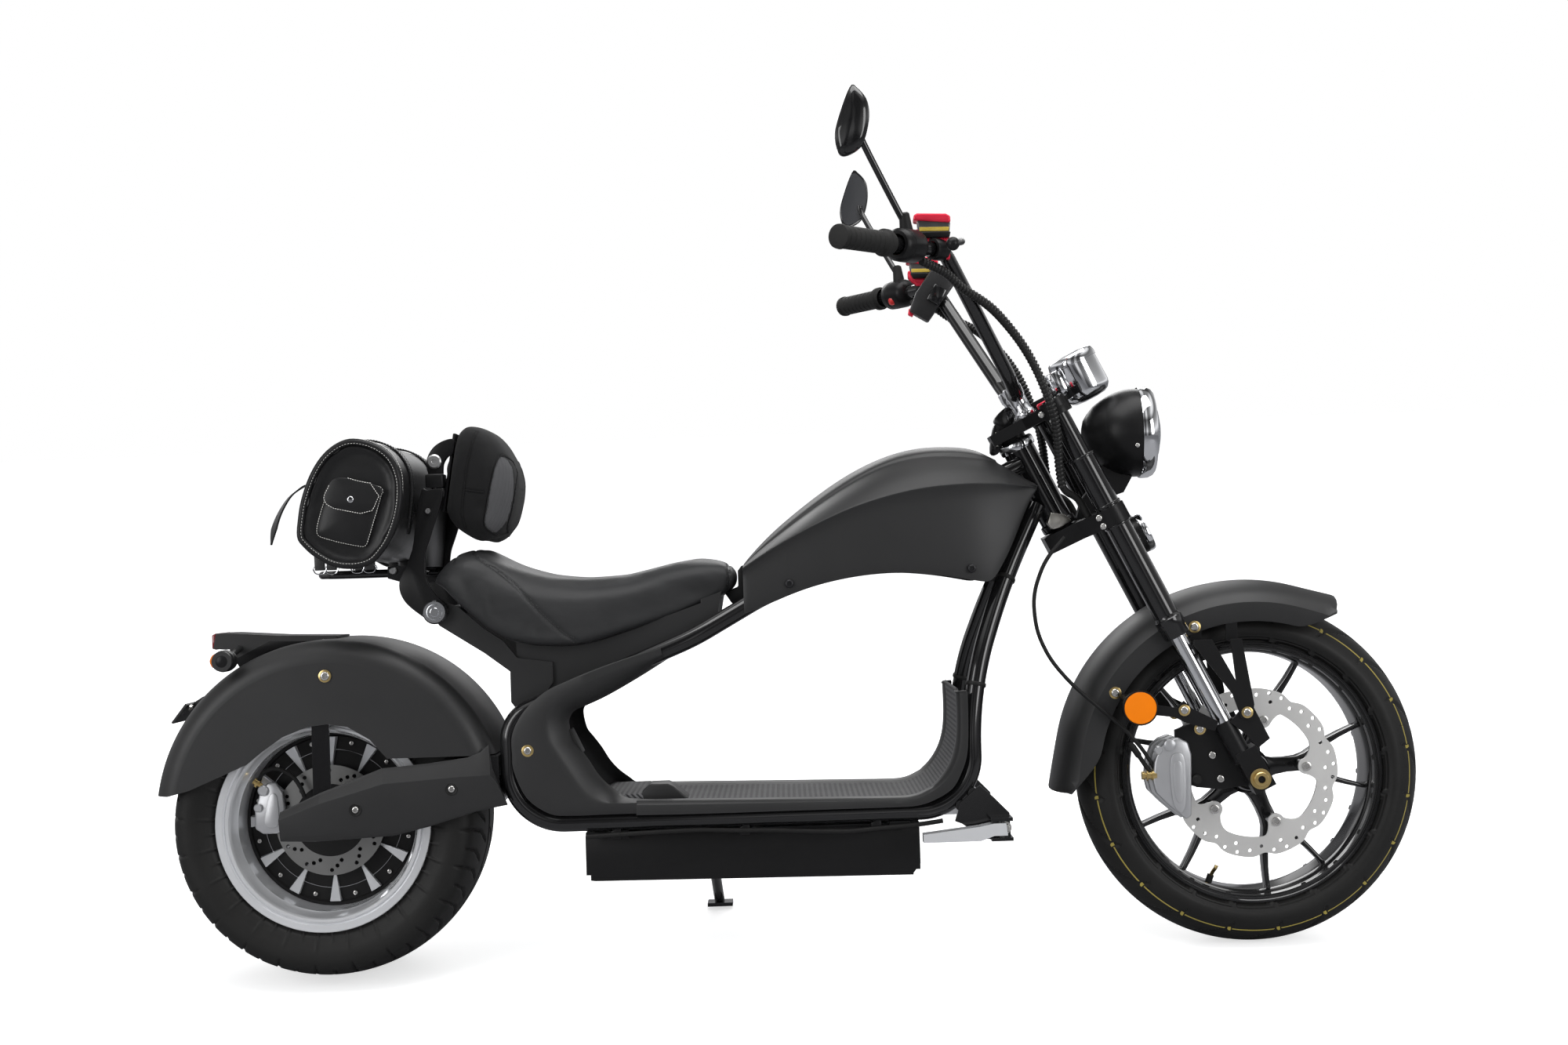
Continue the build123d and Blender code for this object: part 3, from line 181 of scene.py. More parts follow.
# ---- finishes shared by the metal and plastic
# Rubbed edges, fine surface grain and a light film of dust, each as a group used by several finishes.
# Every finish then has its own shader with its own values.


def make_group(name, inputs, outputs):
    """An empty node group with these numbers going in and coming out."""
    group = bpy.data.node_groups.new(name, "ShaderNodeTree")
    for label, value in inputs.items():
        group.interface.new_socket(name=label, in_out='INPUT',
                                   socket_type="NodeSocketFloat").default_value = value
    for label in outputs:
        group.interface.new_socket(name=label, in_out='OUTPUT', socket_type="NodeSocketFloat")
    return group, group.nodes.new("NodeGroupInput").outputs, group.nodes.new("NodeGroupOutput")


def place_on(tree):
    """The place on the piece, which moves with it."""
    return add_node(tree, "TexCoord").outputs["Object"]


grain_group, given, result = make_group("surface_grain", {"Scale": 400.0, "Cloud Scale": 6.0},
                                        ("Height", "Cloud"))
here = place_on(grain_group)
fine = add_node(grain_group, "TexNoise", {"Vector": here, "Scale": given["Scale"], "Detail": 3.0})
cloud = add_node(grain_group, "TexNoise", {"Vector": here, "Scale": given["Cloud Scale"], "Detail": 5.0,
                                           "Roughness": 0.6})
feed(result, {"Height": fine, "Cloud": cloud})

wear_group, given, result = make_group("rubbed_edges", {"Radius": 0.0015, "Patchiness": 60.0}, ("Mask",))
rounded = add_node(wear_group, "Bevel", {"Radius": given["Radius"]}, samples=4)
flat = add_node(wear_group, "NewGeometry").outputs["Normal"]
likeness = add_node(wear_group, "VectorMath", {0: rounded, 1: flat},
                    operation='DOT_PRODUCT').outputs["Value"]
patches = add_node(wear_group, "TexNoise", {"Vector": place_on(wear_group), "Scale": given["Patchiness"],
                                            "Detail": 4.0})
edge = maths(wear_group, 'MULTIPLY', maths(wear_group, 'SUBTRACT', 1.0, likeness), 6.0)
feed(result, {"Mask": maths(wear_group, 'MULTIPLY', edge, patches, clamp=True)})

dust_group, given, result = make_group("dust_film", {"Amount": 0.2, "Scale": 9.0}, ("Mask",))
facing = add_node(dust_group, "SeparateXYZ", {0: add_node(dust_group, "NewGeometry").outputs["Normal"]})
drift = add_node(dust_group, "TexNoise", {"Vector": place_on(dust_group), "Scale": given["Scale"],
                                          "Detail": 6.0, "Roughness": 0.7})
lying = maths(dust_group, 'MULTIPLY', maths(dust_group, 'MULTIPLY_ADD', facing.outputs["Z"], 0.5, 0.5),
              drift)
feed(result, {"Mask": maths(dust_group, 'MULTIPLY', lying, given["Amount"], clamp=True)})


def toned(tree, share, colour, darker, paler):
    """A colour that changes between a darker and a paler shade of itself."""
    return blend(tree, share, tuple(c * darker for c in colour), tuple(min(1.0, c * paler) for c in colour))


def dusty(tree, colour, amount, dust_colour):
    """A colour under a film of dust."""
    return blend(tree, add_node(tree, "Group", {"Amount": amount}, node_tree=dust_group), colour,
                 dust_colour)


def finish(name, colour, rough, metallic=0.0, coat=0.0, grain=(500, 0.02), cloud=0.10,
           wear=0.0, dust=0.03, specular=0.5, brushed=None):
    """A paint, plating or plastic: grain in its gloss and surface, cloudy tone, rubbed edges and dust."""
    material, tree, shader = new_material(name,
                                          {"Metallic": metallic, "Coat Weight": coat,
                                           "Coat Roughness": 0.06, "Specular IOR Level": specular})
    grains = add_node(tree, "Group", {"Scale": grain[0]}, node_tree=grain_group).outputs
    tone = toned(tree, grains["Cloud"], colour, 1 - cloud, 1 + cloud)
    if wear:
        rubbed = maths(tree, 'MULTIPLY', add_node(tree, "Group", node_tree=wear_group), wear)
        tone = blend(tree, rubbed, tone, (0.05, 0.05, 0.05))
    if dust:
        tone = dusty(tree, tone, dust, (0.55, 0.53, 0.50))
    gloss = add_node(tree, "MapRange", {"Value": grains["Cloud"], "To Min": max(0.02, rough * 0.75),
                                        "To Max": min(1.0, rough * 1.25)})
    relief = grains["Height"]
    if brushed:
        stretched = add_node(tree, "Mapping", {"Vector": place_on(tree), "Scale": brushed})
        relief = add_node(tree, "TexNoise", {"Vector": stretched, "Scale": 1.0, "Detail": 4.0})
    bump = add_node(tree, "Bump", {"Strength": 1.0, "Distance": grain[1] / 1000, "Height": relief})
    feed(shader, {"Base Color": tone, "Roughness": gloss, "Normal": bump})
    return material


def dress(node, material):
    """A CAD node keeps its shape and takes this finish."""
    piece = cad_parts[node]
    for slot in piece.material_slots:
        slot.material = material


gloss_black = finish("gloss_black_paint", (0.005, 0.005, 0.0055), 0.12, coat=0.75, grain=(220, 0.006),
                     wear=0.4, dust=0.01, specular=0.25)
satin_black = finish("satin_black_paint", (0.006, 0.006, 0.0065), 0.34, grain=(380, 0.02), wear=0.3,
                     dust=0.01, specular=0.2)
matte_plastic = finish("moulded_black_plastic", (0.013, 0.013, 0.0136), 0.46, grain=(900, 0.03), wear=0.3,
                       dust=0.015, specular=0.42)
chrome = finish("chrome_plate", (0.80, 0.81, 0.83), 0.07, metallic=1.0, grain=(60, 0.004), cloud=0.03,
                dust=0.01)
brushed_steel = finish("brushed_steel", (0.56, 0.56, 0.56), 0.30, metallic=1.0, brushed=(40, 900, 40),
                       cloud=0.08)
rubber = finish("black_rubber", (0.008, 0.008, 0.008), 0.5, grain=(700, 0.05), dust=0.02, specular=0.2)
black_leather = finish("black_leather", (0.016, 0.016, 0.017), 0.42, grain=(260, 0.2), dust=0.04)

for material, nodes in (
        (gloss_black, "frame_loops frame_spine luggage_rack swing_arm side_stand fork_tubes handlebar "
                      "front_rim"),
        (satin_black, "battery_box backrest_post fork_yokes fork_lugs fender_stays headlight_bucket horn "
                      "bar_controls hub_motor rear_caliper front_caliper"),
        (matte_plastic, "floor_tray floor_mat side_covers seat_mount tank_shell swing_arm_covers rear_fender "
                        "plate_and_lamps front_fender mirrors"),
        (black_leather, "seat backrest_pad roll_bag"),
        (rubber, "underfloor_cables control_cables grips front_tyre rear_tyre"),
        (chrome, "fork_sliders speedometer headlight_lens"),
        (brushed_steel, "rear_brake_disc front_brake_disc rear_rim")):
    for node in nodes.split():
        dress(node, material)

# ---- tank cover
# A moulded plastic shell in the shape of a fuel tank, with a raised spine, a sharp side crease and
# two wings past the steering head. Each side is held by two black screws with domed heads.


def read_off(line, x):
    """The second value of a measured line at a place along its first."""
    for (x0, z0), (x1, z1) in zip(line, line[1:]):
        if x0 <= x <= x1:
            return z0 + (z1 - z0) * (x - x0) / (x1 - x0)
    return line[0][1] if x < line[0][0] else line[-1][1]


SIDES = ((-1, "right"), (1, "left"))
HEAD = Vector((1075, 0, 777))
RAKE = math.radians(26)
LEAN = math.radians(8)
BARS_TURNED = math.radians(2.7)
# The scooter's place on its stand: tipped onto both tyres, leaned over and moved over the origin.
stand = (Matrix.Translation((-0.71334, -0.11826, 0.23900)) @ Matrix.Rotation(-LEAN, 4, 'X')
         @ Matrix.Rotation(math.radians(0.1332), 4, 'Y') @ Matrix.Translation((0, 0, -0.2384))
         @ Matrix.Scale(0.001, 4))
head = Matrix.Translation(HEAD) @ Matrix.Rotation(-RAKE, 4, 'Y')
turned_bars = head @ Matrix.Rotation(-BARS_TURNED, 4, 'Z') @ head.inverted()


def take(piece):
    """Makes this piece the one that the next operations work on."""
    bpy.ops.object.select_all(action='DESELECT')
    bpy.context.view_layer.objects.active = piece
    piece.select_set(True)


def mode(name):
    """Into edit mode or back out of it."""
    bpy.ops.object.mode_set(mode=name)


def freeze():
    """The place, turn and size of the selected piece go into its mesh."""
    bpy.ops.object.transform_apply(location=True, rotation=True, scale=True)


def settle(piece, body, material, smooth=35, recalculate=True):
    """Closes up a piece made upright in millimetres and stands it on its body of the leaning scooter."""
    take(piece)
    if recalculate:
        mode('EDIT')
        bpy.ops.mesh.select_all(action='SELECT')
        bpy.ops.mesh.remove_doubles(threshold=0.01)
        bpy.ops.mesh.normals_make_consistent(inside=False)
        mode('OBJECT')
    piece.matrix_world = (stand @ turned_bars if body == "steering" else stand) @ piece.matrix_world
    freeze()
    bpy.ops.object.shade_smooth_by_angle(angle=math.radians(smooth))
    piece.data.materials.clear()
    piece.data.materials.append(material)
    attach(piece, body)
    piece.select_set(False)
    return piece


def apply_modifier(piece, kind, **settings):
    """Adds a modifier with its settings and applies it."""
    modifier = piece.modifiers.new(kind.lower(), kind)
    for name, value in settings.items():
        setattr(modifier, name, value)
    take(piece)
    bpy.ops.object.modifier_apply(modifier=modifier.name)


def skin(name, rows):
    """A grid of one row of points for each station, laid over the rows."""
    bpy.ops.mesh.primitive_grid_add(x_subdivisions=len(rows[0]) - 1, y_subdivisions=len(rows) - 1)
    piece = bpy.context.object
    piece.name = name
    flat = [point for row in rows for point in row]
    for vertex, point in zip(piece.data.vertices, flat):
        vertex.co = point
    return piece


def pick_faces(piece, wanted):
    """Selects the faces whose middle and normal pass the test, and no others."""
    mode('OBJECT')
    for part in (piece.data.vertices, piece.data.edges, piece.data.polygons):
        part.foreach_set("select", [False] * len(part))
    for face in piece.data.polygons:
        face.select = wanted(face.center, face.normal)
    mode('EDIT')
    bpy.ops.mesh.select_mode(type='FACE')


ridge = [(640, 603), (645, 612), (680, 650.5), (738, 697), (796, 738), (853, 766), (909, 781), (966, 782.5),
         (1003, 778), (1031, 762), (1060, 744), (1092, 722)]
panel = [(640, 602), (654, 617), (699, 652), (756, 693), (812, 727.5), (868, 755), (923, 765), (974, 763.5),
         (1025, 755), (1061, 739), (1094, 718)]
crease = [(640, 601), (692, 633.5), (743, 660), (794, 684), (852, 702), (916, 715), (981, 719), (1042, 718),
          (1085, 713), (1094, 711)]
hem = [(640, 532), (647, 534), (674, 544), (732, 567), (790, 582), (863, 588), (913, 585), (963, 578),
       (1016, 566), (1032, 590), (1055, 632), (1070, 668), (1089, 703), (1094, 706)]
girth = [(640, 118), (645, 122), (690, 124), (800, 125), (920, 123), (980, 118), (1017, 110), (1055, 96),
         (1094, 74)]
stations = [643, 648, 664, 690, 725, 765, 810, 860, 910, 955, 990, 1010, 1022, 1036, 1052, 1070, 1084, 1093]
rows = []
for x in stations:
    top, shelf, fold, low, half = (read_off(line, x) for line in (ridge, panel, crease, hem, girth))
    inner = half * 0.47
    tall = fold - low
    right = [(half * 0.955, low), (half * 0.975, low + tall * 0.12), (half * 0.975, low + tall * 0.42),
             (half * 0.958, low + tall * 0.72), (half * 0.955, low + tall * 0.88), (half * 0.99, fold - 4),
             (half, fold - 1.5), (half - 1.5, fold), (half * 0.80, fold + (shelf - fold) * 0.47 + 2),
             (inner + 4, shelf - 2), (inner, shelf), (inner - 3, shelf + (top - shelf) * 0.35 + 1),
             (inner * 0.5, top - (top - shelf) * 0.22)]
    row = [(x, -y, z) for y, z in right] + [(x, 0, top)] + [(x, y, z) for y, z in reversed(right)]
    rows.append(row)
shell = skin("tank_cover", rows)
pick_faces(shell, lambda middle, normal: middle.x > 1036 and abs(middle.y) < 46)
bpy.ops.mesh.delete(type='FACE')
bpy.ops.mesh.select_all(action='SELECT')
bpy.ops.mesh.normals_make_consistent(inside=False)
mode('OBJECT')
if sum(f.normal.z for f in shell.data.polygons) < 0:
    mode('EDIT')
    bpy.ops.mesh.flip_normals()
    mode('OBJECT')
apply_modifier(shell, 'SUBSURF', levels=2, render_levels=2)
apply_modifier(shell, 'SOLIDIFY', thickness=3.5, offset=-1)
settle(shell, "frame", matte_plastic, recalculate=False, smooth=50)
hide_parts("tank_shell")


def domed_screw(name, centre, radius, material, body, washer=None, height=None):
    """A button-head screw with a hexagon socket, its head facing out of a side of the scooter."""
    height = height or radius * 0.55
    side = -1 if centre[1] < 0 else 1
    bpy.ops.mesh.primitive_cylinder_add(vertices=24, radius=radius, depth=height,
                                        rotation=(math.pi / 2 * -side, 0, 0),
                                        location=(centre[0], centre[1] + side * height / 2, centre[2]))
    piece = bpy.context.object
    piece.name = name
    freeze()
    pick_faces(piece, lambda middle, normal: normal.y * side > 0.9)
    bpy.ops.mesh.bevel(offset=height * 0.7, segments=3, affect='EDGES')
    mode('OBJECT')
    outer = max(v.co.y * side for v in piece.data.vertices)
    pick_faces(piece, lambda middle, normal: normal.y * side > 0.99 and middle.y * side > outer - 0.01)
    bpy.ops.mesh.inset(thickness=radius * 0.12)
    bpy.ops.mesh.extrude_region_move(TRANSFORM_OT_translate={"value": (0, -side * height * 0.6, 0)})
    mode('OBJECT')
    if washer:
        bpy.ops.mesh.primitive_cylinder_add(vertices=28, radius=washer, depth=1.2,
                                            rotation=(math.pi / 2, 0, 0),
                                            location=(centre[0], centre[1] + side * 0.6, centre[2]))
        ring = bpy.context.object
        ring.name = name + "_washer"
        freeze()
        apply_modifier(ring, 'BEVEL', width=0.3, segments=2)
        settle(ring, body, gold_plate)
    return settle(piece, body, material)


gold_plate = finish("gold_zinc_plate", (0.70, 0.52, 0.22), 0.28, metallic=1.0, grain=(500, 0.02),
                    cloud=0.15)
black_screw = finish("black_oxide_screws", (0.02, 0.02, 0.022), 0.35, metallic=0.6, grain=(600, 0.02))
for side, word in SIDES:
    domed_screw(f"tank_screw_rear_{word}", (712, side * 122.5, 576), 6.5, black_screw, "frame")
    domed_screw(f"tank_screw_front_{word}", (986, side * 116.0, 589.5), 6.5, black_screw, "frame")

# ---- seat
# Foam under smooth black leather, kicked up at the back and narrowing to the tank. A stitched
# seam crosses it behind the rider and runs down both sides, and another closes the nose.


def rounded_line(points, steps, closed=False):
    """More points on a smooth line through the given ones."""
    points = [Vector(point) for point in points]
    count = len(points)
    made = []
    for run in range(count if closed else count - 1):
        if closed:
            before, here, after, beyond = (points[(run + k) % count] for k in (-1, 0, 1, 2))
        else:
            before, here = points[max(run - 1, 0)], points[run]
            after, beyond = points[run + 1], points[min(run + 2, count - 1)]
        for step in range(steps):
            t = step / steps
            made.append(0.5 * (2 * here + (after - before) * t
                               + (2 * before - 5 * here + 4 * after - beyond) * t * t
                               + (3 * here - before - 3 * after + beyond) * t ** 3))
    return made + ([] if closed else [points[-1]])


def smooth_line(points, steps=5, closed=True):
    """A rounded side-view outline through these (X, Z) points."""
    return [(p[0], p[2]) for p in rounded_line([(x, 0, z) for x, z in points], steps, closed)]


def evenly(points, pace):
    """Places and directions one pace apart along a line."""
    made = []
    left = pace / 2
    for here, after in zip(points, points[1:]):
        run = (after - here).length
        while left <= run:
            made.append((here.lerp(after, left / run), (after - here).normalized()))
            left += pace
        left -= run
    return made


def new_piece(name, data):
    """A piece that holds this mesh or curve, put into the scene."""
    piece = bpy.data.objects.new(name, data)
    bpy.context.collection.objects.link(piece)
    return piece


def lie(point, along, outward):
    """A place whose Z runs along a line and whose X faces outward."""
    along = along.normalized()
    across = along.cross(outward).normalized()
    outward = across.cross(along)
    place = Matrix((outward, across, along)).transposed().to_4x4()
    place.translation = point
    return place


def copies(name, pattern, places):
    """One piece made of a pattern laid at every place."""
    mesh = bmesh.new()
    for place in places:
        start = len(mesh.verts)
        mesh.from_mesh(pattern.data)
        mesh.verts.ensure_lookup_table()
        bmesh.ops.transform(mesh, matrix=place, verts=mesh.verts[start:])
    mesh.to_mesh(pattern.data)
    mesh.free()
    pattern.name = name
    return pattern


def from_corners(name, mesh):
    """A piece made of a finished mesh, its faces turned outward."""
    bmesh.ops.recalc_face_normals(mesh, faces=mesh.faces)
    data = bpy.data.meshes.new(name)
    mesh.to_mesh(data)
    mesh.free()
    return new_piece(name, data)


def wall(mesh, ring, other):
    """Faces between two rings of as many corners each."""
    for corners in zip(ring, ring[1:] + ring[:1], other[1:] + other[:1], other):
        mesh.faces.new(corners)


def loft(name, rings):
    """A closed form through rings of as many points each, its two ends filled."""
    mesh = bmesh.new()
    loops = [[mesh.verts.new(point) for point in ring] for ring in rings]
    for lower, upper in zip(loops, loops[1:]):
        wall(mesh, lower, upper)
    mesh.faces.new(loops[0])
    mesh.faces.new(list(reversed(loops[-1])))
    return from_corners(name, mesh)


def rescale(piece, factor):
    """Sizes a piece about the origin, for the cloth and back again."""
    take(piece)
    piece.matrix_world = Matrix.Scale(factor, 4)
    freeze()


CLOTH_FRAMES = 20


def plump(piece, voxel, cap, held):
    """Swells a padded piece as filled cloth held at its base; no point moves further than the cap."""
    rescale(piece, 0.001)
    apply_modifier(piece, 'REMESH', mode='VOXEL', voxel_size=voxel / 1000)
    apply_modifier(piece, 'SMOOTH', factor=0.5, iterations=6)
    start = [vertex.co.copy() for vertex in piece.data.vertices]
    pinned = piece.vertex_groups.new(name="held")
    pinned.add([v.index for v in piece.data.vertices if held(v.co * 1000, v.normal)], 1.0, 'REPLACE')
    cloth = piece.modifiers.new("filled", 'CLOTH')
    cloth.settings.quality = 5
    cloth.settings.use_pressure = True
    cloth.settings.uniform_pressure_force = 4.0
    cloth.settings.effector_weights.gravity = 0.0
    cloth.settings.vertex_group_mass = "held"
    for frame_number in range(1, CLOTH_FRAMES + 1):
        bpy.context.scene.frame_set(frame_number)
    bpy.ops.object.modifier_apply(modifier=cloth.name)
    bpy.context.scene.frame_set(1)
    for vertex, was in zip(piece.data.vertices, start):
        move = vertex.co - was
        if move.length > cap / 1000:
            vertex.co = was + move * (cap / 1000 / move.length)
    apply_modifier(piece, 'SMOOTH', factor=0.5, iterations=4)
    apply_modifier(piece, 'SUBSURF', levels=1, render_levels=1)
    rescale(piece, 1000)


def laid_on(piece, points, side):
    """Points of a side view dropped onto the side of a piece that faces them."""
    bpy.context.view_layer.update()
    made = []
    for x, z in points:
        hit, place, _, _ = piece.ray_cast(Vector((x, side * 400, z)), Vector((0, -side, 0)))
        if hit:
            made.append(place.copy())
    return made


def press(piece, seam, pace, depth, width):
    """Draws the surface in along a seam."""
    line = [point for point, _ in evenly(seam, pace)]
    tree = KDTree(len(line))
    for index, point in enumerate(line):
        tree.insert(point, index)
    tree.balance()
    normals = [vertex.normal.copy() for vertex in piece.data.vertices]
    for vertex, normal in zip(piece.data.vertices, normals):
        gap = tree.find(vertex.co)[2]
        if gap < 3 * width:
            vertex.co -= normal * (depth * math.exp(-(gap / width) ** 2))


def sew(name, piece, line, pace, length, thick, material, shift=0.0):
    """Short threads lying on a piece along a line, shifted to one side of it."""
    bpy.ops.mesh.primitive_cylinder_add(vertices=6, radius=thick, depth=length)
    thread = bpy.context.object
    mode('EDIT')
    bpy.ops.mesh.select_all(action='SELECT')
    bpy.ops.mesh.bevel(offset=thick * 0.5, segments=1)
    mode('OBJECT')
    places = []
    for point, along in evenly(line, pace):
        _, place, normal, _ = piece.closest_point_on_mesh(point)
        place = place + along.cross(normal).normalized() * shift
        _, place, normal, _ = piece.closest_point_on_mesh(place)
        places.append(lie(place + normal * thick * 0.4, along, normal))
    settle(copies(name, thread, places), "frame", material, recalculate=False)


seat_top = [(176, 596), (186, 612), (198, 626), (210, 635), (222, 640), (239, 640), (259, 629), (282, 616),
            (305, 606), (352, 593), (406, 588), (467, 591), (536, 607), (583, 614), (612, 612), (626, 604),
            (632, 594)]
seat_hem = [(176, 594), (191, 590), (216, 563), (255, 527), (287, 506), (326, 497), (369, 493), (398, 494),
            (438, 503), (485, 517), (538, 533), (611, 560), (628, 574), (632, 584)]
seat_half = [(176, 110), (200, 132), (230, 143), (260, 146), (330, 142), (430, 117), (560, 92), (612, 83),
             (626, 78), (632, 70)]
rings = []
for x in (177, 181, 187, 195, 205, 216, 228, 242, 258, 276, 296, 320, 345, 372, 400, 430, 465, 500, 535,
          570, 596, 612, 622, 629, 632):
    top, low, half = (read_off(line, x) for line in (seat_top, seat_hem, seat_half))
    rise = top - low
    right = [(0.5, 0), (0.90, 0), (0.975, 0.10), (0.995, 0.30), (0.985, 0.52), (0.94, 0.74), (0.83, 0.90),
             (0.62, 0.975), (0.32, 1.0)]
    ring = [(x, 0, low)] + [(x, -half * y, low + rise * z) for y, z in right]
    rings.append(ring + [(x, 0, top)] + [(x, half * y, low + rise * z) for y, z in reversed(right)])
cushion = loft("seat_cushion", rings)
plump(cushion, 6.0, 7.0, lambda place, normal: normal.z < -0.5)
side_seam = [(238, 637), (250, 629), (261, 620.6), (273.4, 612.3), (301.1, 589.3), (328.4, 558.5),
             (352.7, 532.4), (372, 514), (391, 500)]
nose_seam = [(619, 610), (621.5, 600), (622, 592), (621, 580), (619, 571)]
black_thread = finish("black_thread", (0.03, 0.03, 0.03), 0.8, grain=(2500, 0.05), dust=0.0)
for label, points, crossing in (("back", side_seam, (230, 0)), ("nose", nose_seam, (619, 0))):
    right_run = laid_on(cushion, smooth_line(points, 4, False), -1)
    over = []
    for step in range(1, 12):
        across = right_run[0].y * (1 - step / 6)
        x = right_run[0].x + (crossing[0] - right_run[0].x) * (1 - abs(1 - step / 6))
        hit, place, _, _ = cushion.ray_cast(Vector((x, across, 900)), Vector((0, 0, -1)))
        if hit:
            over.append(place.copy())
    left_run = [Vector((p.x, -p.y, p.z)) for p in right_run]
    seam = list(reversed(right_run)) + over + left_run
    press(cushion, seam, 2.0, 2.6, 3.0)
    for shift in (-3.0, 3.0):
        sew(f"seat_stitches_{label}_{'front' if shift > 0 else 'rear'}", cushion, seam, 4.2, 2.9, 0.45,
            black_thread, shift)
rear_edge = []
for step in range(-20, 21):
    hit, place, _, _ = cushion.ray_cast(Vector((207 + abs(step) * 0.15, step * 6.0, 900)),
                                        Vector((0, 0, -1)))
    if hit:
        rear_edge.append(place.copy())
press(cushion, rear_edge, 2.0, 1.8, 2.5)


def leather(name, colour, rough, pebble, depth, creases, fold_height=0.4):
    """Leather with a pebbled grain, long soft creases and gloss that changes with them, with painted shade in
    the hollows of the creases and painted light on their crests.
    """
    material, tree, shader = new_material(name, {"Specular IOR Level": 0.22})
    here = place_on(tree)
    uneven = add_node(tree, "TexNoise", {"Vector": here, "Scale": pebble * 0.6, "Detail": 3.0}).outputs[
        "Color"]
    cells = add_node(tree, "TexVoronoi", feature='DISTANCE_TO_EDGE')
    feed(cells, {"Vector": blend(tree, 0.004, here, uneven, 'ADD'), "Scale": pebble})
    stretched = add_node(tree, "Mapping", {"Vector": here, "Scale": (1.0, 1.0, 2.2)})
    fold = add_node(tree, "TexNoise", {"Vector": stretched, "Scale": creases, "Detail": 6.0,
                                       "Roughness": 0.65, "Distortion": 0.6})
    gloss = add_node(tree, "MapRange", {"Value": fold, "To Min": rough * 0.8, "To Max": rough * 1.25})
    grain_bump = add_node(tree, "Bump", {"Distance": depth / 1000, "Height": cells.outputs["Distance"]})
    fold_bump = add_node(tree, "Bump", {"Distance": fold_height / 1000, "Height": fold,
                                        "Normal": grain_bump})
    # Painted shade and light: the tone darkens in the hollows of the creases and pales on their crests,
    # following the fold relief.
    tone = dusty(tree, toned(tree, fold, colour, 0.75, 1.3), 0.02, (0.5, 0.5, 0.5))
    feed(shader, {"Base Color": tone, "Roughness": gloss, "Normal": fold_bump})
    return material


seat_leather = leather("seat_leather", (0.017, 0.0172, 0.018), 0.44, 620, 0.10, 16)
settle(cushion, "frame", seat_leather, recalculate=False, smooth=80)
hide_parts("seat")

# ---- backrest pad
# A pad of black cloth with sewn edges, bevelled at the front corners, where a panel of
# grey mesh is let into each side.


def bead(name, points, radius, closed=False, sides=3):
    """Round wire, tube or piping along a line."""
    curve = bpy.data.curves.new(name, 'CURVE')
    curve.dimensions = '3D'
    curve.bevel_depth = radius
    curve.bevel_resolution = sides
    curve.use_fill_caps = True
    run = curve.splines.new('POLY')
    run.points.add(len(points) - 1)
    for knot, point in zip(run.points, points):
        knot.co = (*point, 1)
    run.use_cyclic_u = closed
    take(new_piece(name, curve))
    bpy.ops.object.convert(target='MESH')
    return bpy.context.object


def woven(name, colour, thread, depth=0.25):
    """Cloth of crossed threads, with painted light where they rise and painted shade between them, and a soft
    sheen.
    """
    material, tree, shader = new_material(name, {"Roughness": 0.85, "Specular IOR Level": 0.2,
                                                 "Sheen Weight": 0.05})
    waves = [add_node(tree, "TexWave", {"Vector": place_on(tree), "Scale": thread, "Distortion": 0.6,
                                        "Detail": 1.0}, bands_direction=way).outputs["Fac"] for way
             in ('X', 'Z')]
    weave = maths(tree, 'MULTIPLY', *waves)
    bump = add_node(tree, "Bump", {"Distance": depth / 1000, "Height": weave})
    # Painted light and shade: the threads are paler where they rise and darker in the gaps between them.
    feed(shader, {"Base Color": toned(tree, weave, colour, 0.6, 1.4), "Normal": bump})
    return material


pad_rear = [(653, 248), (660, 236), (676, 212), (690, 202), (702, 197), (760, 206), (820, 217), (829, 224),
            (834, 232)]
pad_front = [(653, 252), (660, 268), (676, 282), (690, 290), (722, 298), (757, 302), (770, 297), (808, 277),
             (826, 260), (834, 240)]
pad_half = [(653, 70), (658, 92), (668, 108), (684, 118), (720, 121), (770, 121), (800, 117), (818, 106),
            (828, 90), (834, 66)]
rings = []
for z in (653.5, 656, 661, 668, 677, 688, 702, 722, 745, 768, 788, 804, 815, 823, 829, 833):
    rear, front, half = (read_off(line, z) for line in (pad_rear, pad_front, pad_half))
    deep = front - rear
    right = [(0.0, 0.45), (0.02, 0.84), (0.14, 0.965), (0.34, 0.99), (0.56, 0.985), (0.72, 0.86),
             (0.88, 0.68), (0.97, 0.50), (1.0, 0.28)]
    ring = [(rear, 0, z)] + [(rear + deep * d, -half * y, z) for d, y in right]
    rings.append(ring + [(front, 0, z)] + [(rear + deep * d, half * y, z) for d, y in reversed(right)])
pad = loft("backrest_cushion", rings)
plump(pad, 5.0, 5.0, lambda place, normal: normal.x < -0.8)
cloth_black = woven("black_pad_cloth", (0.008, 0.008, 0.0085), 380)
cloth_grey = woven("grey_mesh_panel", (0.10, 0.10, 0.105), 260, depth=0.5)
panel_line = [(278, 780), (286, 784), (296, 772), (299, 750), (294, 714), (285, 684), (274, 664),
              (262, 671), (257, 681), (260, 700), (268, 738)]
panel_round = smooth_line(panel_line)
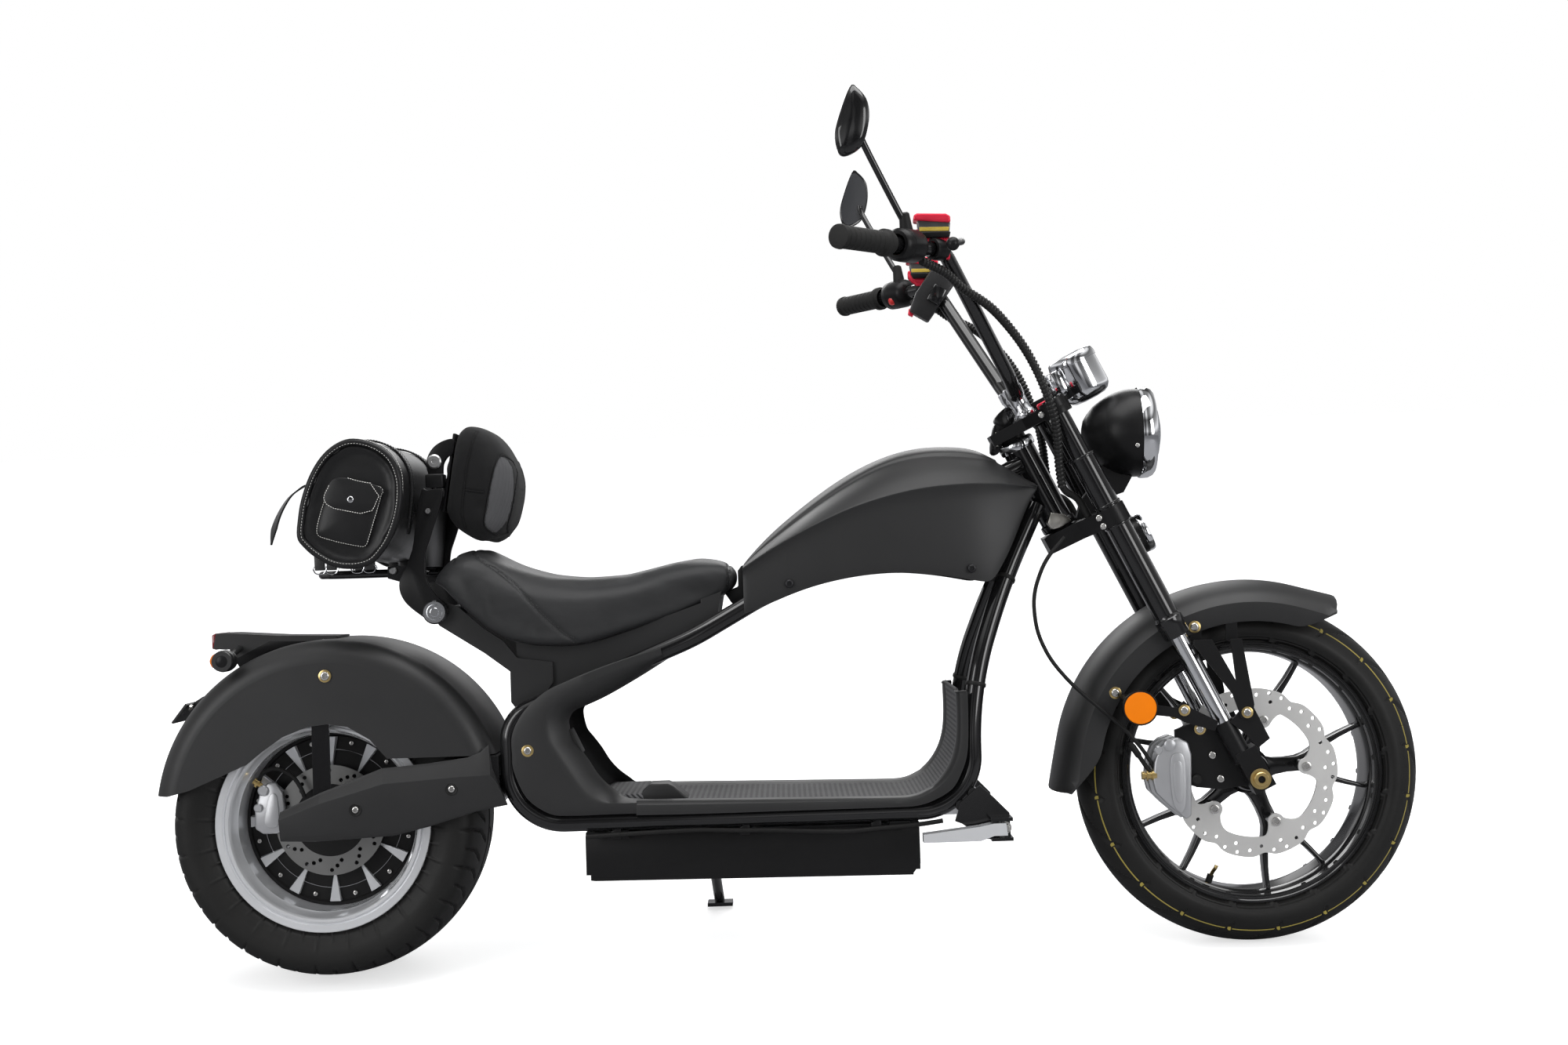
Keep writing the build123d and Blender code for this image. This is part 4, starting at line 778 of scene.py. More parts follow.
for side, word in SIDES:
    edge = laid_on(pad, panel_round + panel_round[:1], side)
    press(pad, edge, 1.5, 1.8, 2.2)
    sew(f"pad_panel_stitches_{word}", pad, edge, 4.0, 2.8, 0.4, black_thread, 2.4)
    settle(bead(f"pad_panel_piping_{word}", edge, 0.9), "frame", cloth_black)
    for label, points in (("side", [(248, 822), (242, 795), (235, 764), (230, 730), (226, 700),
                                    (229, 676)]),
                          ("short", [(230, 733), (240, 731), (252, 729), (259, 728)])):
        line = laid_on(pad, smooth_line(points, 6, False), side)
        press(pad, line, 1.5, 1.6, 2.2)
        settle(bead(f"pad_piping_{label}_{word}", line, 0.8), "frame", cloth_black)
settle(pad, "frame", cloth_black, recalculate=False, smooth=80)
pad.data.materials.append(cloth_grey)
upright = stand.inverted()
turn_back = upright.to_3x3().normalized()
for face in pad.data.polygons:
    middle = upright @ face.center
    inside = False
    for (x0, z0), (x1, z1) in zip(panel_round, panel_round[1:] + panel_round[:1]):
        if (z0 > middle.z) != (z1 > middle.z) and middle.x < x0 + (x1 - x0) * (middle.z - z0) / (z1 - z0):
            inside = not inside
    if inside and abs((turn_back @ face.normal).y) > 0.25:
        face.material_index = 1
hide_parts("backrest_pad")

# ---- roll bag
# A barrel bag of black leather across the rack: round ends with a rolled rim and a stitched
# pocket, a lid over the top held by two straps, and D-rings along its underside.
bag_line = [(2, 670), (4, 694), (9, 720), (21, 753), (37, 779), (56, 796), (77, 804), (100, 801),
            (121, 791), (136, 776), (145, 754), (147, 730), (143, 700), (132, 668), (118, 646), (101, 630),
            (76, 625), (49, 629), (25, 643), (9, 658)]
bag_middle = Vector((76, 0, 712))


def bag_ring(y, grow, share=1.0, steps=3):
    """The bag's outline at a distance across, grown or shrunk by a few millimetres."""
    ring = []
    for point in rounded_line([(x, 0, z) for x, z in bag_line], steps, closed=True):
        spoke = point - bag_middle
        ring.append(bag_middle + spoke * share + spoke.normalized() * grow + Vector((0, y, 0)))
    return ring


rings = [bag_ring(-179, 0, 0.30), bag_ring(-178, 0, 0.72), bag_ring(-177, -12), bag_ring(-182, -6),
         bag_ring(-189, -3), bag_ring(-188, 3.5), bag_ring(-176, 0), bag_ring(-150, -4), bag_ring(-100, -5),
         bag_ring(-50, -6), bag_ring(0, -6.5)]
rings += [[Vector((p.x, -p.y, p.z)) for p in ring] for ring in reversed(rings[:-1])]
bag = loft("bag_body", rings)
plump(bag, 6.0, 5.0, lambda place, normal: place.z < 624)
bag_leather = leather("bag_leather", (0.008, 0.008, 0.0085), 0.32, 700, 0.05, 14, fold_height=0.15)
white_thread = finish("white_thread", (0.62, 0.61, 0.58), 0.8, grain=(2500, 0.05), dust=0.0)
for side, word in SIDES:
    rim = bag_ring(side * 188, 0.5, steps=4)
    piping = bead(f"bag_rim_{word}", rim, 5.2, closed=True, sides=4)
    rim_line = [point + Vector((0, side * 4, 0)) for point in bag_ring(side * 188, -1.5, steps=4)]
    sew(f"bag_rim_stitches_{word}", piping, rim_line + rim_line[:1], 4.4, 2.6, 0.34, white_thread)
    settle(piping, "frame", bag_leather, smooth=60)

pocket_line = [(50, 753), (37.4, 722), (31, 705), (25, 684), (24, 672), (30, 666), (58, 657), (89, 650),
               (97, 651), (102, 660), (112, 690), (124, 728), (126, 738), (90, 748)]
flap_line = [(53.5, 757.3), (44, 740), (37.4, 727), (38.6, 718), (47, 709.5), (75, 702), (102, 697.5),
             (112, 704), (120, 720), (129, 737.5), (92, 748)]


def drawn_in(outline, share, y):
    """A side-view outline drawn in towards its middle, at a distance across."""
    corners = [Vector((x, 0, z)) for x, z in outline]
    middle = sum(corners, Vector()) / len(corners)
    return [middle + (corner - middle) * share + Vector((0, y, 0)) for corner in corners]


def puffed(name, outline, y, side, thick, crown):
    """A flat leather piece of a side-view outline whose face is crowned and edge is rounded."""
    return loft(name, [drawn_in(outline, share, y + side * out) for share, out in (
        (0.97, 0), (1.0, thick * 0.4), (0.985, thick * 0.8), (0.94, thick), (0.7, thick + crown * 0.6),
        (0.35, thick + crown * 0.95), (0.05, thick + crown))])


for side, word in SIDES:
    pouch = puffed(f"bag_pocket_{word}", pocket_line, side * 176, side, 15, 5)
    apply_modifier(pouch, 'SUBSURF', levels=3, render_levels=3)
    flap = puffed(f"bag_flap_{word}", flap_line, side * 193.5, side, 3.0, 2.0)
    apply_modifier(flap, 'SUBSURF', levels=3, render_levels=3)
    for label, outline, cloth, pull in (("pocket", pocket_line, pouch, 0.95),
                                        ("flap", flap_line, flap, 0.94)):
        line = rounded_line(drawn_in(outline, pull, side * 215), 5, closed=True)
        hits = laid_on(cloth, [(p.x, p.z) for p in line + line[:1]], side)
        sew(f"bag_{label}_stitches_{word}", cloth, hits, 3.6, 2.5, 0.55, white_thread)
    domed_screw(f"bag_snap_{word}", (78.2, side * 197.5, 720.3), 5.0, chrome, "frame", height=2.4)
    settle(pouch, "frame", bag_leather, smooth=80)
    settle(flap, "frame", bag_leather, smooth=80)
settle(bag, "frame", bag_leather, recalculate=False, smooth=80)
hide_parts("roll_bag")

lid_line = [(10, 0, 738), (19, 0, 758), (38, 0, 788), (70, 0, 805), (97, 0, 805), (126, 0, 790),
            (142, 0, 763), (144, 0, 731), (141, 0, 704)]


def soften(piece, width, segments=2, angle=30):
    """Rounds the edges where two faces meet at more than this angle in degrees."""
    apply_modifier(piece, 'BEVEL', width=width, segments=segments, limit_method='ANGLE',
                   angle_limit=math.radians(angle))


def band(name, line, half, grow, thick, ends, y=0.0):
    """A strip of leather over the bag, with rounded ends and its own thickness."""
    rows = []
    line = rounded_line(line, 5)
    for index, point in enumerate(line):
        spoke = (point - bag_middle).normalized()
        near_end = min(index, len(line) - 1 - index)
        width = half - ends * max(0.0, 1 - near_end / 4) ** 2
        rows.append([point + spoke * grow + Vector((0, y + width * share, 0))
                     for share in (-1, -0.96, -0.7, -0.4, 0, 0.4, 0.7, 0.96, 1)])
    piece = skin(name, rows)
    apply_modifier(piece, 'SOLIDIFY', thickness=thick, offset=0)
    soften(piece, thick * 0.3)
    return piece


lid = band("bag_lid", lid_line, 168, 1.5, 3.0, ends=22)
lid_edge = [point + (point - bag_middle).normalized() * 5 for point in rounded_line(lid_line, 5)]
for side, word in SIDES:
    line = [point + Vector((0, side * 161, 0)) for point in lid_edge[3:-2]]
    sew(f"bag_lid_stitches_{word}", lid, line, 4.4, 3.0, 0.55, white_thread)
settle(lid, "frame", bag_leather)
strap_line = [(4, 0, 716), (8, 0, 736), (19, 0, 760), (38, 0, 789), (70, 0, 806), (97, 0, 806),
              (126, 0, 791), (142, 0, 765), (145, 0, 735), (141, 0, 700), (137, 0, 672)]
for side, word in SIDES:
    strap = band(f"bag_strap_{word}", strap_line, 11, 4.4, 2.4, y=side * 98, ends=3)
    for shift in (-8, 8):
        line = [point + (point - bag_middle).normalized() * 6 + Vector((0, side * 98 + shift, 0))
                for point in rounded_line(strap_line, 5)[2:-2]]
        sew(f"bag_strap_stitches_{word}_{'in' if shift * side < 0 else 'out'}", strap, line, 4.6, 3.0, 0.5,
            black_thread)
    settle(strap, "frame", bag_leather)
    hang = [(2, 0, 742), (-10, 0, 748), (-24, 0, 741), (-38, 0, 729), (-52, 0, 707), (-61, 0, 684),
            (-66, 0, 660)]
    if side > 0:
        hang = [(2, 0, 742), (-9, 0, 744), (-17, 0, 730), (-19, 0, 700), (-16, 0, 668), (-12, 0, 642)]
    rows = []
    for index, point in enumerate(rounded_line(hang, 4)):
        width = 9.5 if index < 4 * (len(hang) - 2) else 9.5 - 2.4 * (index - 4 * (len(hang) - 2))
        turn = 0.035 * index if side < 0 else 0.0
        across = Vector((-math.sin(turn), math.cos(turn), 0)) * max(width, 1.5)
        rows.append([point + Vector((0, side * 98, 0)) + across * share for share in (-1, -0.5, 0, 0.5, 1)])
    tail = skin(f"bag_strap_end_{word}", rows)
    apply_modifier(tail, 'SOLIDIFY', thickness=2.4, offset=0)
    soften(tail, 0.6)
    settle(tail, "frame", bag_leather)
    corner = 12.5
    frame_line = [(0, side * 98 - corner, 733), (0, side * 98 + corner, 733), (0, side * 98 + corner, 752),
                  (0, side * 98 - corner, 752)]
    buckle = bead(f"bag_buckle_{word}", rounded_line(frame_line, 3, closed=True), 1.5, closed=True)
    settle(buckle, "frame", chrome)

# ---- rear wheel
# A wide road tyre on a polished rim. The black hub motor fills the rim, with twelve machined
# wedges and cap screws round its face and a drilled disc on its right side.
REAR_AXLE = Vector((0, 0, 238.4))


def lathe(name, profile, centre, steps):
    """A closed section of (across, radius) points spun about an axle."""
    mesh = bmesh.new()
    points = [mesh.verts.new(centre + Vector((0, across, radius))) for across, radius in profile]
    edges = [mesh.edges.new(pair) for pair in zip(points, points[1:] + points[:1])]
    bmesh.ops.spin(mesh, geom=points + edges, axis=(0, 1, 0), cent=centre, steps=steps, angle=2 * math.pi)
    bmesh.ops.remove_doubles(mesh, verts=mesh.verts, dist=0.01)
    return from_corners(name, mesh)


def plate(name, outline, low, high, hole=None, bevel=0.0):
    """A flat piece of a side-view outline (X, Z) between two distances across, with an optional hole."""
    mesh = bmesh.new()
    lines = [outline] + ([hole] if hole else [])
    near, far = ([[mesh.verts.new((x, y, z)) for x, z in line] for line in lines] for y in (low, high))
    for ring, other in zip(near, far):
        wall(mesh, ring, other)
    for rings in (near, far):
        if hole:
            wall(mesh, *rings)
        else:
            mesh.faces.new(rings[0])
    piece = from_corners(name, mesh)
    if bevel:
        soften(piece, bevel, angle=40)
    return piece


def drill(piece, places, radius, depth):
    """Holes across the scooter through a plate."""
    bpy.ops.mesh.primitive_cylinder_add(vertices=16, radius=radius, depth=depth,
                                        rotation=(math.pi / 2, 0, 0))
    freeze()
    bits = copies("drill", bpy.context.object, [Matrix.Translation(place) for place in places])
    apply_modifier(piece, 'BOOLEAN', object=bits, operation='DIFFERENCE', solver='EXACT')
    bpy.data.objects.remove(bits)


def round_wheel(centre, radius, angle, across=0.0):
    """A point of a wheel, its angle in degrees from forward towards up."""
    turn = math.radians(angle)
    return centre + Vector((radius * math.cos(turn), across, radius * math.sin(turn)))


def round_outline(centre, radii):
    """A side-view outline (X, Z) about an axle with these radii, evenly spaced over the turn."""
    points = [round_wheel(centre, radius, 360 * k / len(radii)) for k, radius in enumerate(radii)]
    return [(point.x, point.z) for point in points]


def tread(name, centre, section, crown, grooves, depth, pitch, body, node, around, line_radius=None):
    """A tyre whose outer skin dips along grooves of (angle, across) points, repeated at every pitch."""
    outer = section + crown + [(-a, r) for a, r in reversed(section)]
    inside = (-0.8 * section[0][0], section[0][1])
    cuts = [(*start, *end, width) for line, width in grooves for start, end in zip(line, line[1:])]
    scale = math.radians(crown[len(crown) // 2][1])
    mesh = bmesh.new()
    rings = []
    for step in range(around):
        angle = 360 * step / around
        ring = []
        for a, r in outer:
            dip = 0.0
            for t0, a0, t1, a1, width in cuts:
                if min(a0, a1) - width <= a <= max(a0, a1) + width:
                    for lap in (-pitch, 0, pitch):
                        x0, x1, x = t0 * scale, t1 * scale, (angle % pitch + lap) * scale
                        run = (x1 - x0) ** 2 + (a1 - a0) ** 2
                        share = max(0.0, min(1.0, ((x - x0) * (x1 - x0) + (a - a0) * (a1 - a0)) / run))
                        gap = math.hypot(x - x0 - share * (x1 - x0), a - a0 - share * (a1 - a0))
                        if gap < width:
                            dip = max(dip, min(1.0, (width - gap) / (width * 0.45)))
            ring.append(mesh.verts.new(round_wheel(centre, r - depth * dip, angle, a)))
        ring.append(mesh.verts.new(round_wheel(centre, inside[1], angle, inside[0])))
        rings.append(ring)
    for ring, following in zip(rings, rings[1:] + rings[:1]):
        wall(mesh, ring, following)
    piece = from_corners(name, mesh)
    marked = []
    if line_radius:
        middles = [face.center - centre for face in piece.data.polygons]
        marked = [abs(math.hypot(middle.x, middle.z) - line_radius) < 0.75 and abs(middle.y) > 35
                  for middle in middles]
    settle(piece, body, tyre_rubber, recalculate=False, smooth=38)
    if line_radius:
        piece.data.materials.append(mould_line)
        for face, yes in zip(piece.data.polygons, marked):
            face.material_index = int(yes)
    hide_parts(node)


tyre_rubber = finish("tyre_rubber", (0.007, 0.007, 0.007), 0.50, grain=(450, 0.08), cloud=0.3, dust=0.035,
                     specular=0.20)
mould_line = finish("yellow_mould_line", (0.30, 0.24, 0.04), 0.7, grain=(900, 0.05), cloud=0.4)
rear_section = [(91.5, 154), (91.7, 164), (95, 167), (98, 169.5), (98.6, 172), (101.5, 176), (102.3, 179),
                (105, 185), (106.4, 190), (107.2, 196), (107.3, 202), (106.6, 208), (104.5, 213),
                (101.5, 217.5), (98, 220.5), (93.5, 223.2)]
rear_crown = [(a, 238.4 - 300 + math.sqrt(300 ** 2 - a ** 2)) for a in range(89, -90, -4)]
side_cut = [((0, 34), (4.5, 62), (6.0, 90), (6.0, 104)), ((8, 46), (12.5, 74), (13.5, 98))]
rear_grooves = [([(t, a) for t, a in line], 2.8) for line in side_cut]
rear_grooves += [([(t + 5, -a) for t, a in line], 2.8) for line in side_cut]
rear_grooves += [([(0, 20), (15, 20)], 2.6), ([(0, -20), (15, -20)], 2.6), ([(2, 14), (9, -10)], 2.0)]
tread("rear_tyre_tread", REAR_AXLE, rear_section, rear_crown, rear_grooves, 4.0, 15.0, "rear_wheel",
      "rear_tyre", around=720)
rim_side = [(92, 162), (96.6, 162), (97.4, 161.2), (97.4, 151.6), (96.4, 150.6), (93.5, 149.6),
            (93.5, 147.6), (95.8, 146.8), (96.4, 145.8), (96.2, 142.6), (94.5, 141.4), (88, 140.4),
            (72, 136.4), (70, 134.8), (40, 134.2), (34, 132.9)]
profile = ([(-a, r) for a, r in rim_side] + [(a, r) for a, r in reversed(rim_side)]
           + [(92, 152.6), (60, 148), (40, 138), (-40, 138), (-60, 148), (-92, 152.6)])
rim = lathe("rear_rim_polished", profile, REAR_AXLE, 192)
rim_alloy = finish("rim_alloy", (0.80, 0.81, 0.83), 0.22, metallic=0.60, grain=(150, 0.01), cloud=0.05,
                   dust=0.01, coat=0.3)
settle(rim, "rear_wheel", rim_alloy, smooth=30)
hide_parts("rear_rim")
polished_alloy = finish("polished_alloy", (0.72, 0.73, 0.75), 0.17, metallic=1.0, grain=(150, 0.01),
                        cloud=0.05, dust=0.02)
motor_side = [(-44.7, 8.2), (-44.7, 50), (-43.5, 52.5), (-31, 56), (-28, 60), (-27, 104.5), (-27.6, 105),
              (-27.6, 106.5), (-27, 107), (-26.6, 126), (-30, 128), (-30, 132.4), (56, 132.4), (56, 70),
              (60, 60), (74, 40), (74, 8.2)]
motor = lathe("hub_motor_body", motor_side, REAR_AXLE, 144)
motor_black = finish("motor_black", (0.006, 0.006, 0.0065), 0.34, grain=(500, 0.03), specular=0.2)
settle(motor, "rear_wheel", motor_black, smooth=30)
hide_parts("hub_motor")
ring = lathe("hub_motor_ring", [(-28.2, 105.4), (-28.2, 106.2), (-27, 106.2), (-27, 105.4)], REAR_AXLE, 120)
settle(ring, "rear_wheel", polished_alloy, smooth=30)

mesh = bmesh.new()
low = [mesh.verts.new(point) for point in ((72, -27, 0), (126, -27, -9.5), (126, -27, 9.5))]
high = [mesh.verts.new(point) for point in ((73, -31, 0.4), (126, -35, -7.5), (126, -35, 8.5))]
mesh.faces.new(low)
mesh.faces.new(list(reversed(high)))
wall(mesh, low, high)
bmesh.ops.bevel(mesh, geom=mesh.edges[:], offset=0.5, segments=1, affect='EDGES')
wedge = from_corners("wedge", mesh)
places = [Matrix.Translation(REAR_AXLE) @ Matrix.Rotation(-math.radians(angle), 4, 'Y')
          for angle in range(90, 450, 30)]
settle(copies("hub_motor_wedges", wedge, places), "rear_wheel", rim_alloy, smooth=30)


def socket_screws(name, centre, radius, count, first, y, size, body, height=4.0):
    """A ring of cap screws with sockets round an axle, their heads facing right."""
    bpy.ops.mesh.primitive_cylinder_add(vertices=20, radius=size, depth=height,
                                        rotation=(math.pi / 2, 0, 0))
    screw = bpy.context.object
    freeze()
    pick_faces(screw, lambda middle, normal: normal.y < -0.9)
    bpy.ops.mesh.bevel(offset=height * 0.2, segments=2, affect='EDGES')
    pick_faces(screw, lambda middle, normal: normal.y < -0.99 and middle.y < -height * 0.49)
    bpy.ops.mesh.inset(thickness=size * 0.35)
    bpy.ops.mesh.extrude_region_move(TRANSFORM_OT_translate={"value": (0, height * 0.5, 0)})
    mode('OBJECT')
    places = [Matrix.Translation(round_wheel(centre, radius, first + 360 * k / count, y - height / 2))
              for k in range(count)]
    return settle(copies(name, screw, places), body, bolt_steel, recalculate=False)


bolt_steel = finish("bright_bolts", (0.66, 0.65, 0.63), 0.24, metallic=1.0, grain=(700, 0.01), cloud=0.10)
socket_screws("hub_motor_screws", REAR_AXLE, 118.5, 12, 15, -27, 3.4, "rear_wheel")
socket_screws("rear_disc_screws", REAR_AXLE, 47, 6, 20, -44, 3.6, "rear_wheel")
disc = plate("rear_disc", round_outline(REAR_AXLE, [84] * 120), -49, -45,
             round_outline(REAR_AXLE, [55] * 120))
spots = [round_wheel(REAR_AXLE, radius, 30 * k + shift, -47)
         for k in range(12) for radius, shift in ((76, 0), (70, 7), (63, 14))]
drill(disc, spots, 3.1, 12)
soften(disc, 0.35, segments=1, angle=50)
disc_steel = finish("ground_disc_steel", (0.27, 0.27, 0.265), 0.36, metallic=1.0, brushed=(120, 30, 120),
                    cloud=0.10)
settle(disc, "rear_wheel", disc_steel, smooth=30)
carrier = lathe("rear_disc_carrier", [(-45, 30), (-45, 57), (-48.2, 57), (-48.2, 30)], REAR_AXLE, 60)
settle(carrier, "rear_wheel", motor_black, smooth=30)
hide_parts("rear_brake_disc")

# ---- front wheel
# A round-section tyre with long slanting grooves and a thin yellow mould line, on a gloss black
# rim of five forked arms. The wavy drilled disc is held at five ears.
FRONT_AXLE = Vector((1410, 0, 264))
front_section = [(41.5, 189), (41.8, 201), (45, 202.5), (49, 204), (49.6, 206), (53, 207.5), (53.6, 209),
                 (55.8, 212), (57.2, 215.5)]
CROWN_MIDDLE, CROWN_RADIUS = 203, 60
front_crown = [(CROWN_RADIUS * math.sin(math.radians(slant)), CROWN_MIDDLE + CROWN_RADIUS
                * math.cos(math.radians(slant))) for slant in range(73, -74, -3)]
extra_ring = [(47.4, 239.8), (45.9, 241.6)]
front_crown = sorted(set(front_crown + extra_ring + [(-a, r) for a, r in extra_ring]), key=lambda p: -p[0])
long_cut = [(0, 6), (6, 22), (13, 38), (17.5, 51)]
short_cut = [(9, 30), (13.5, 42), (17, 47)]
front_grooves = [(long_cut, 2.6), ([(t + 9, -a) for t, a in long_cut], 2.6), (short_cut, 1.9),
                 ([(t + 9, -a) for t, a in short_cut], 1.9)]
tread("front_tyre_tread", FRONT_AXLE, front_section, front_crown, front_grooves, 3.4, 18.0, "front_wheel",
      "front_tyre", around=900, line_radius=240.7)
bpy.ops.mesh.primitive_cone_add(vertices=5, radius1=0.45, radius2=0.2, depth=7)
hair = bpy.context.object
random.seed(4)
places = []
for k in range(34):
    slant = math.radians(random.uniform(28, 62)) * (-1 if k % 2 else 1)
    turn = math.radians(random.uniform(0, 360))
    forward, upward = math.cos(turn), math.sin(turn)
    out = Vector((forward * math.cos(slant), math.sin(slant), upward * math.cos(slant)))
    if FRONT_AXLE.z + upward * (CROWN_MIDDLE + CROWN_RADIUS) > 60:
        root = FRONT_AXLE + Vector((forward * CROWN_MIDDLE, 0, upward * CROWN_MIDDLE)) + out * (CROWN_RADIUS
            + 1.5)
        places.append(lie(root, out, Vector((0, 1, 0))))
settle(copies("front_tyre_hairs", hair, places), "front_wheel", tyre_rubber, recalculate=False)

rim_side = [(42, 199), (45.6, 199), (46.2, 198.2), (46.2, 195.6), (45, 194.4), (41.5, 193.6), (40.5, 192.2),
            (42.6, 190.8), (42.2, 188.6), (38, 187.4), (32, 186.6), (31, 184.4), (27, 182.8), (22, 182.2),
            (12, 182)]
profile = ([(-a, r) for a, r in rim_side] + [(a, r) for a, r in reversed(rim_side)]
           + [(42, 188.2), (28, 186.2), (-28, 186.2), (-42, 188.2)])
rim = lathe("front_rim_gloss", profile, FRONT_AXLE, 192)
settle(rim, "front_wheel", gloss_black, smooth=30)
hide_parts("front_rim")
hub_side = [(-46.8, 8.3), (-46.8, 24), (-44, 27), (-40, 29), (-18, 31), (-12, 36), (12, 36), (18, 31),
            (40, 29), (46.8, 26), (46.8, 8.3)]
settle(lathe("front_hub", hub_side, FRONT_AXLE, 96), "front_wheel", gloss_black, smooth=30)
FIRST_ARM, ARM_STEP = 5, 72
arm_angles = [FIRST_ARM + ARM_STEP * k for k in range(5)]
for k, angle in enumerate(arm_angles):
    left = [(30, -17), (44, -12.5), (62, -11), (80, -11.5), (92, -14.5), (104, -21), (118, -29), (150, -41),
            (176, -49.5), (183, -56)]
    fork_in = [(183, -44), (174, -42), (150, -33), (124, -21), (112, -11), (109, 0)]
    line = left + fork_in + [(r, -s) for r, s in reversed(fork_in[:-1])] + [(r, -s) for r,
        s in reversed(left)]
    turn = math.radians(angle)
    outline = [(FRONT_AXLE.x + r * math.cos(turn) - s * math.sin(turn),
                FRONT_AXLE.z + r * math.sin(turn) + s * math.cos(turn)) for r, s in line]
    arm = plate(f"front_arm_{k + 1}", outline, -13, 13)
    soften(arm, 3.2, segments=3, angle=50)
    settle(arm, "front_wheel", gloss_black, smooth=40)

EAR_FROM_AXLE, EAR_RADIUS = 81.5, 12.2
outer, inner = [], []
for angle in range(360):
    valley = abs((angle - 60 + 18) % 36 - 18)
    outer.append(128.8 - 6.2 * math.exp(-(valley / 5.5) ** 2))
    from_ear = (angle - FIRST_ARM + ARM_STEP / 2) % ARM_STEP - ARM_STEP / 2
    sideways = EAR_FROM_AXLE * math.sin(math.radians(from_ear))
    if abs(sideways) < EAR_RADIUS:
        inner.append(EAR_FROM_AXLE * math.cos(math.radians(from_ear))
                     - math.sqrt(EAR_RADIUS ** 2 - sideways ** 2))
    else:
        share = min(1.0, (abs(from_ear) - 8.6) / (7 if from_ear < 0 else 17))
        inner.append(81 + 17 * (1 - (1 - share) ** 2.2))
disc = plate("front_disc", round_outline(FRONT_AXLE, outer), -54, -50, round_outline(FRONT_AXLE, inner))
spots = [round_wheel(FRONT_AXLE, radius, 60 - 36 * k + shift, -52) for k in range(10) for radius, shift in
         ((121.3, 7), (112.6, -1.9), (118.6, -10.6), (123.4, -19.6), (110.6, -21.9))]
drill(disc, spots, 3.0, 12)
soften(disc, 0.35, segments=1, angle=50)
pale_steel = finish("pale_disc_steel", (0.60, 0.595, 0.585), 0.38, metallic=0.60, brushed=(120, 30, 120),
                    cloud=0.06)
settle(disc, "front_wheel", pale_steel, smooth=30)
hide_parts("front_brake_disc")
socket_screws("front_disc_screws", FRONT_AXLE, EAR_FROM_AXLE, 5, FIRST_ARM, -54, 7.0, "front_wheel",
              height=3.0)
for k, angle in enumerate(arm_angles):
    foot = [round_wheel(FRONT_AXLE, EAR_FROM_AXLE, angle, y) for y in (-50, -12)]
    boss = bead(f"front_disc_post_{k + 1}", foot, 8.5, sides=5)
    settle(boss, "front_wheel", gloss_black, smooth=40)
VALVE_ANGLE = 249
valve = [round_wheel(FRONT_AXLE, r, VALVE_ANGLE, y) for r,
         y in ((182, -10), (172, -12), (163, -18), (158, -24), (154, -24))]
settle(bead("valve_stem", rounded_line(valve, 4), 3.0), "front_wheel", gold_plate, smooth=50)
settle(bead("valve_foot", [round_wheel(FRONT_AXLE, r, VALVE_ANGLE, -10) for r in (182, 171)], 5.2),
       "front_wheel", rubber)

# ---- frame fittings
# Plated bolts, the two-facet swing-arm covers, the tail lamp, indicators, plate and pegs.
# CAD pieces that stay get their sharp edges rounded.


def spun(name, start, end, profile, material, body, steps=40, smooth=40):
    """A section of (distance along, radius) points turned about the line from start to end."""
    start, end = Vector(start), Vector(end)
    along = (end - start).normalized()
    out = along.orthogonal().normalized()
    mesh = bmesh.new()
    points = [mesh.verts.new(start + along * distance + out * radius) for distance, radius in profile]
    edges = [mesh.edges.new(pair) for pair in zip(points, points[1:])]
    bmesh.ops.spin(mesh, geom=points + edges, axis=along, cent=start, steps=steps, angle=2 * math.pi)
    bmesh.ops.remove_doubles(mesh, verts=mesh.verts, dist=0.01)
    return settle(from_corners(name, mesh), body, material, smooth=smooth)


def both(points):
    """The same places on the right and the left."""
    return [Vector((x, side * y, z)) for x, y, z in points for side, _ in SIDES]


def plates(name, outline, low, high, material, bevel=1.0, mirrored=True):
    """A rounded plate, and its twin on the other side of the scooter."""
    for side, word in SIDES if mirrored else SIDES[1:]:
        piece = plate(f"{name}_{word}" if mirrored else name, outline, *sorted((side * low, side * high)),
                      bevel=bevel)
        settle(piece, "frame", material, smooth=45)


for k, place in enumerate(both([(16.2, 126, 461.8)])):
    domed_screw(f"fender_bolt_{k + 1}", place, 7.0, bolt_steel, "frame", washer=9.5)
for k, place in enumerate(both([(58.4, 135.6, 263), (201.7, 136, 289)])):
    domed_screw(f"cover_bolt_{k + 1}", place, 5.2, bolt_steel, "frame")
    side = -1 if place.y < 0 else 1
    spun(f"cover_bolt_seat_{k + 1}", place, place + Vector((0, side, 0)),
         [(-4, 9.4), (0.8, 9.4), (1.4, 8.6), (0.4, 6)], rubber, "frame", steps=32)
for k, place in enumerate(both([(315.4, 131.4, 341.3)])):
    domed_screw(f"side_cover_bolt_{k + 1}", place, 6.0, bolt_steel, "frame", washer=9.0)
columns = [((-56, 262), (-55, 219), 0.25), ((5, 289), (-3, 217), 0.22), ((97, 322), (113, 222), 0.22),
           ((165, 327), (167, 234), 0.25), ((225, 334), (200, 243.5), 0.30), ((244, 341), (237, 254), 0.39),
           ((257, 352), (262, 258.5), 0.47), ((261, 318), (283, 262), 0.45)]
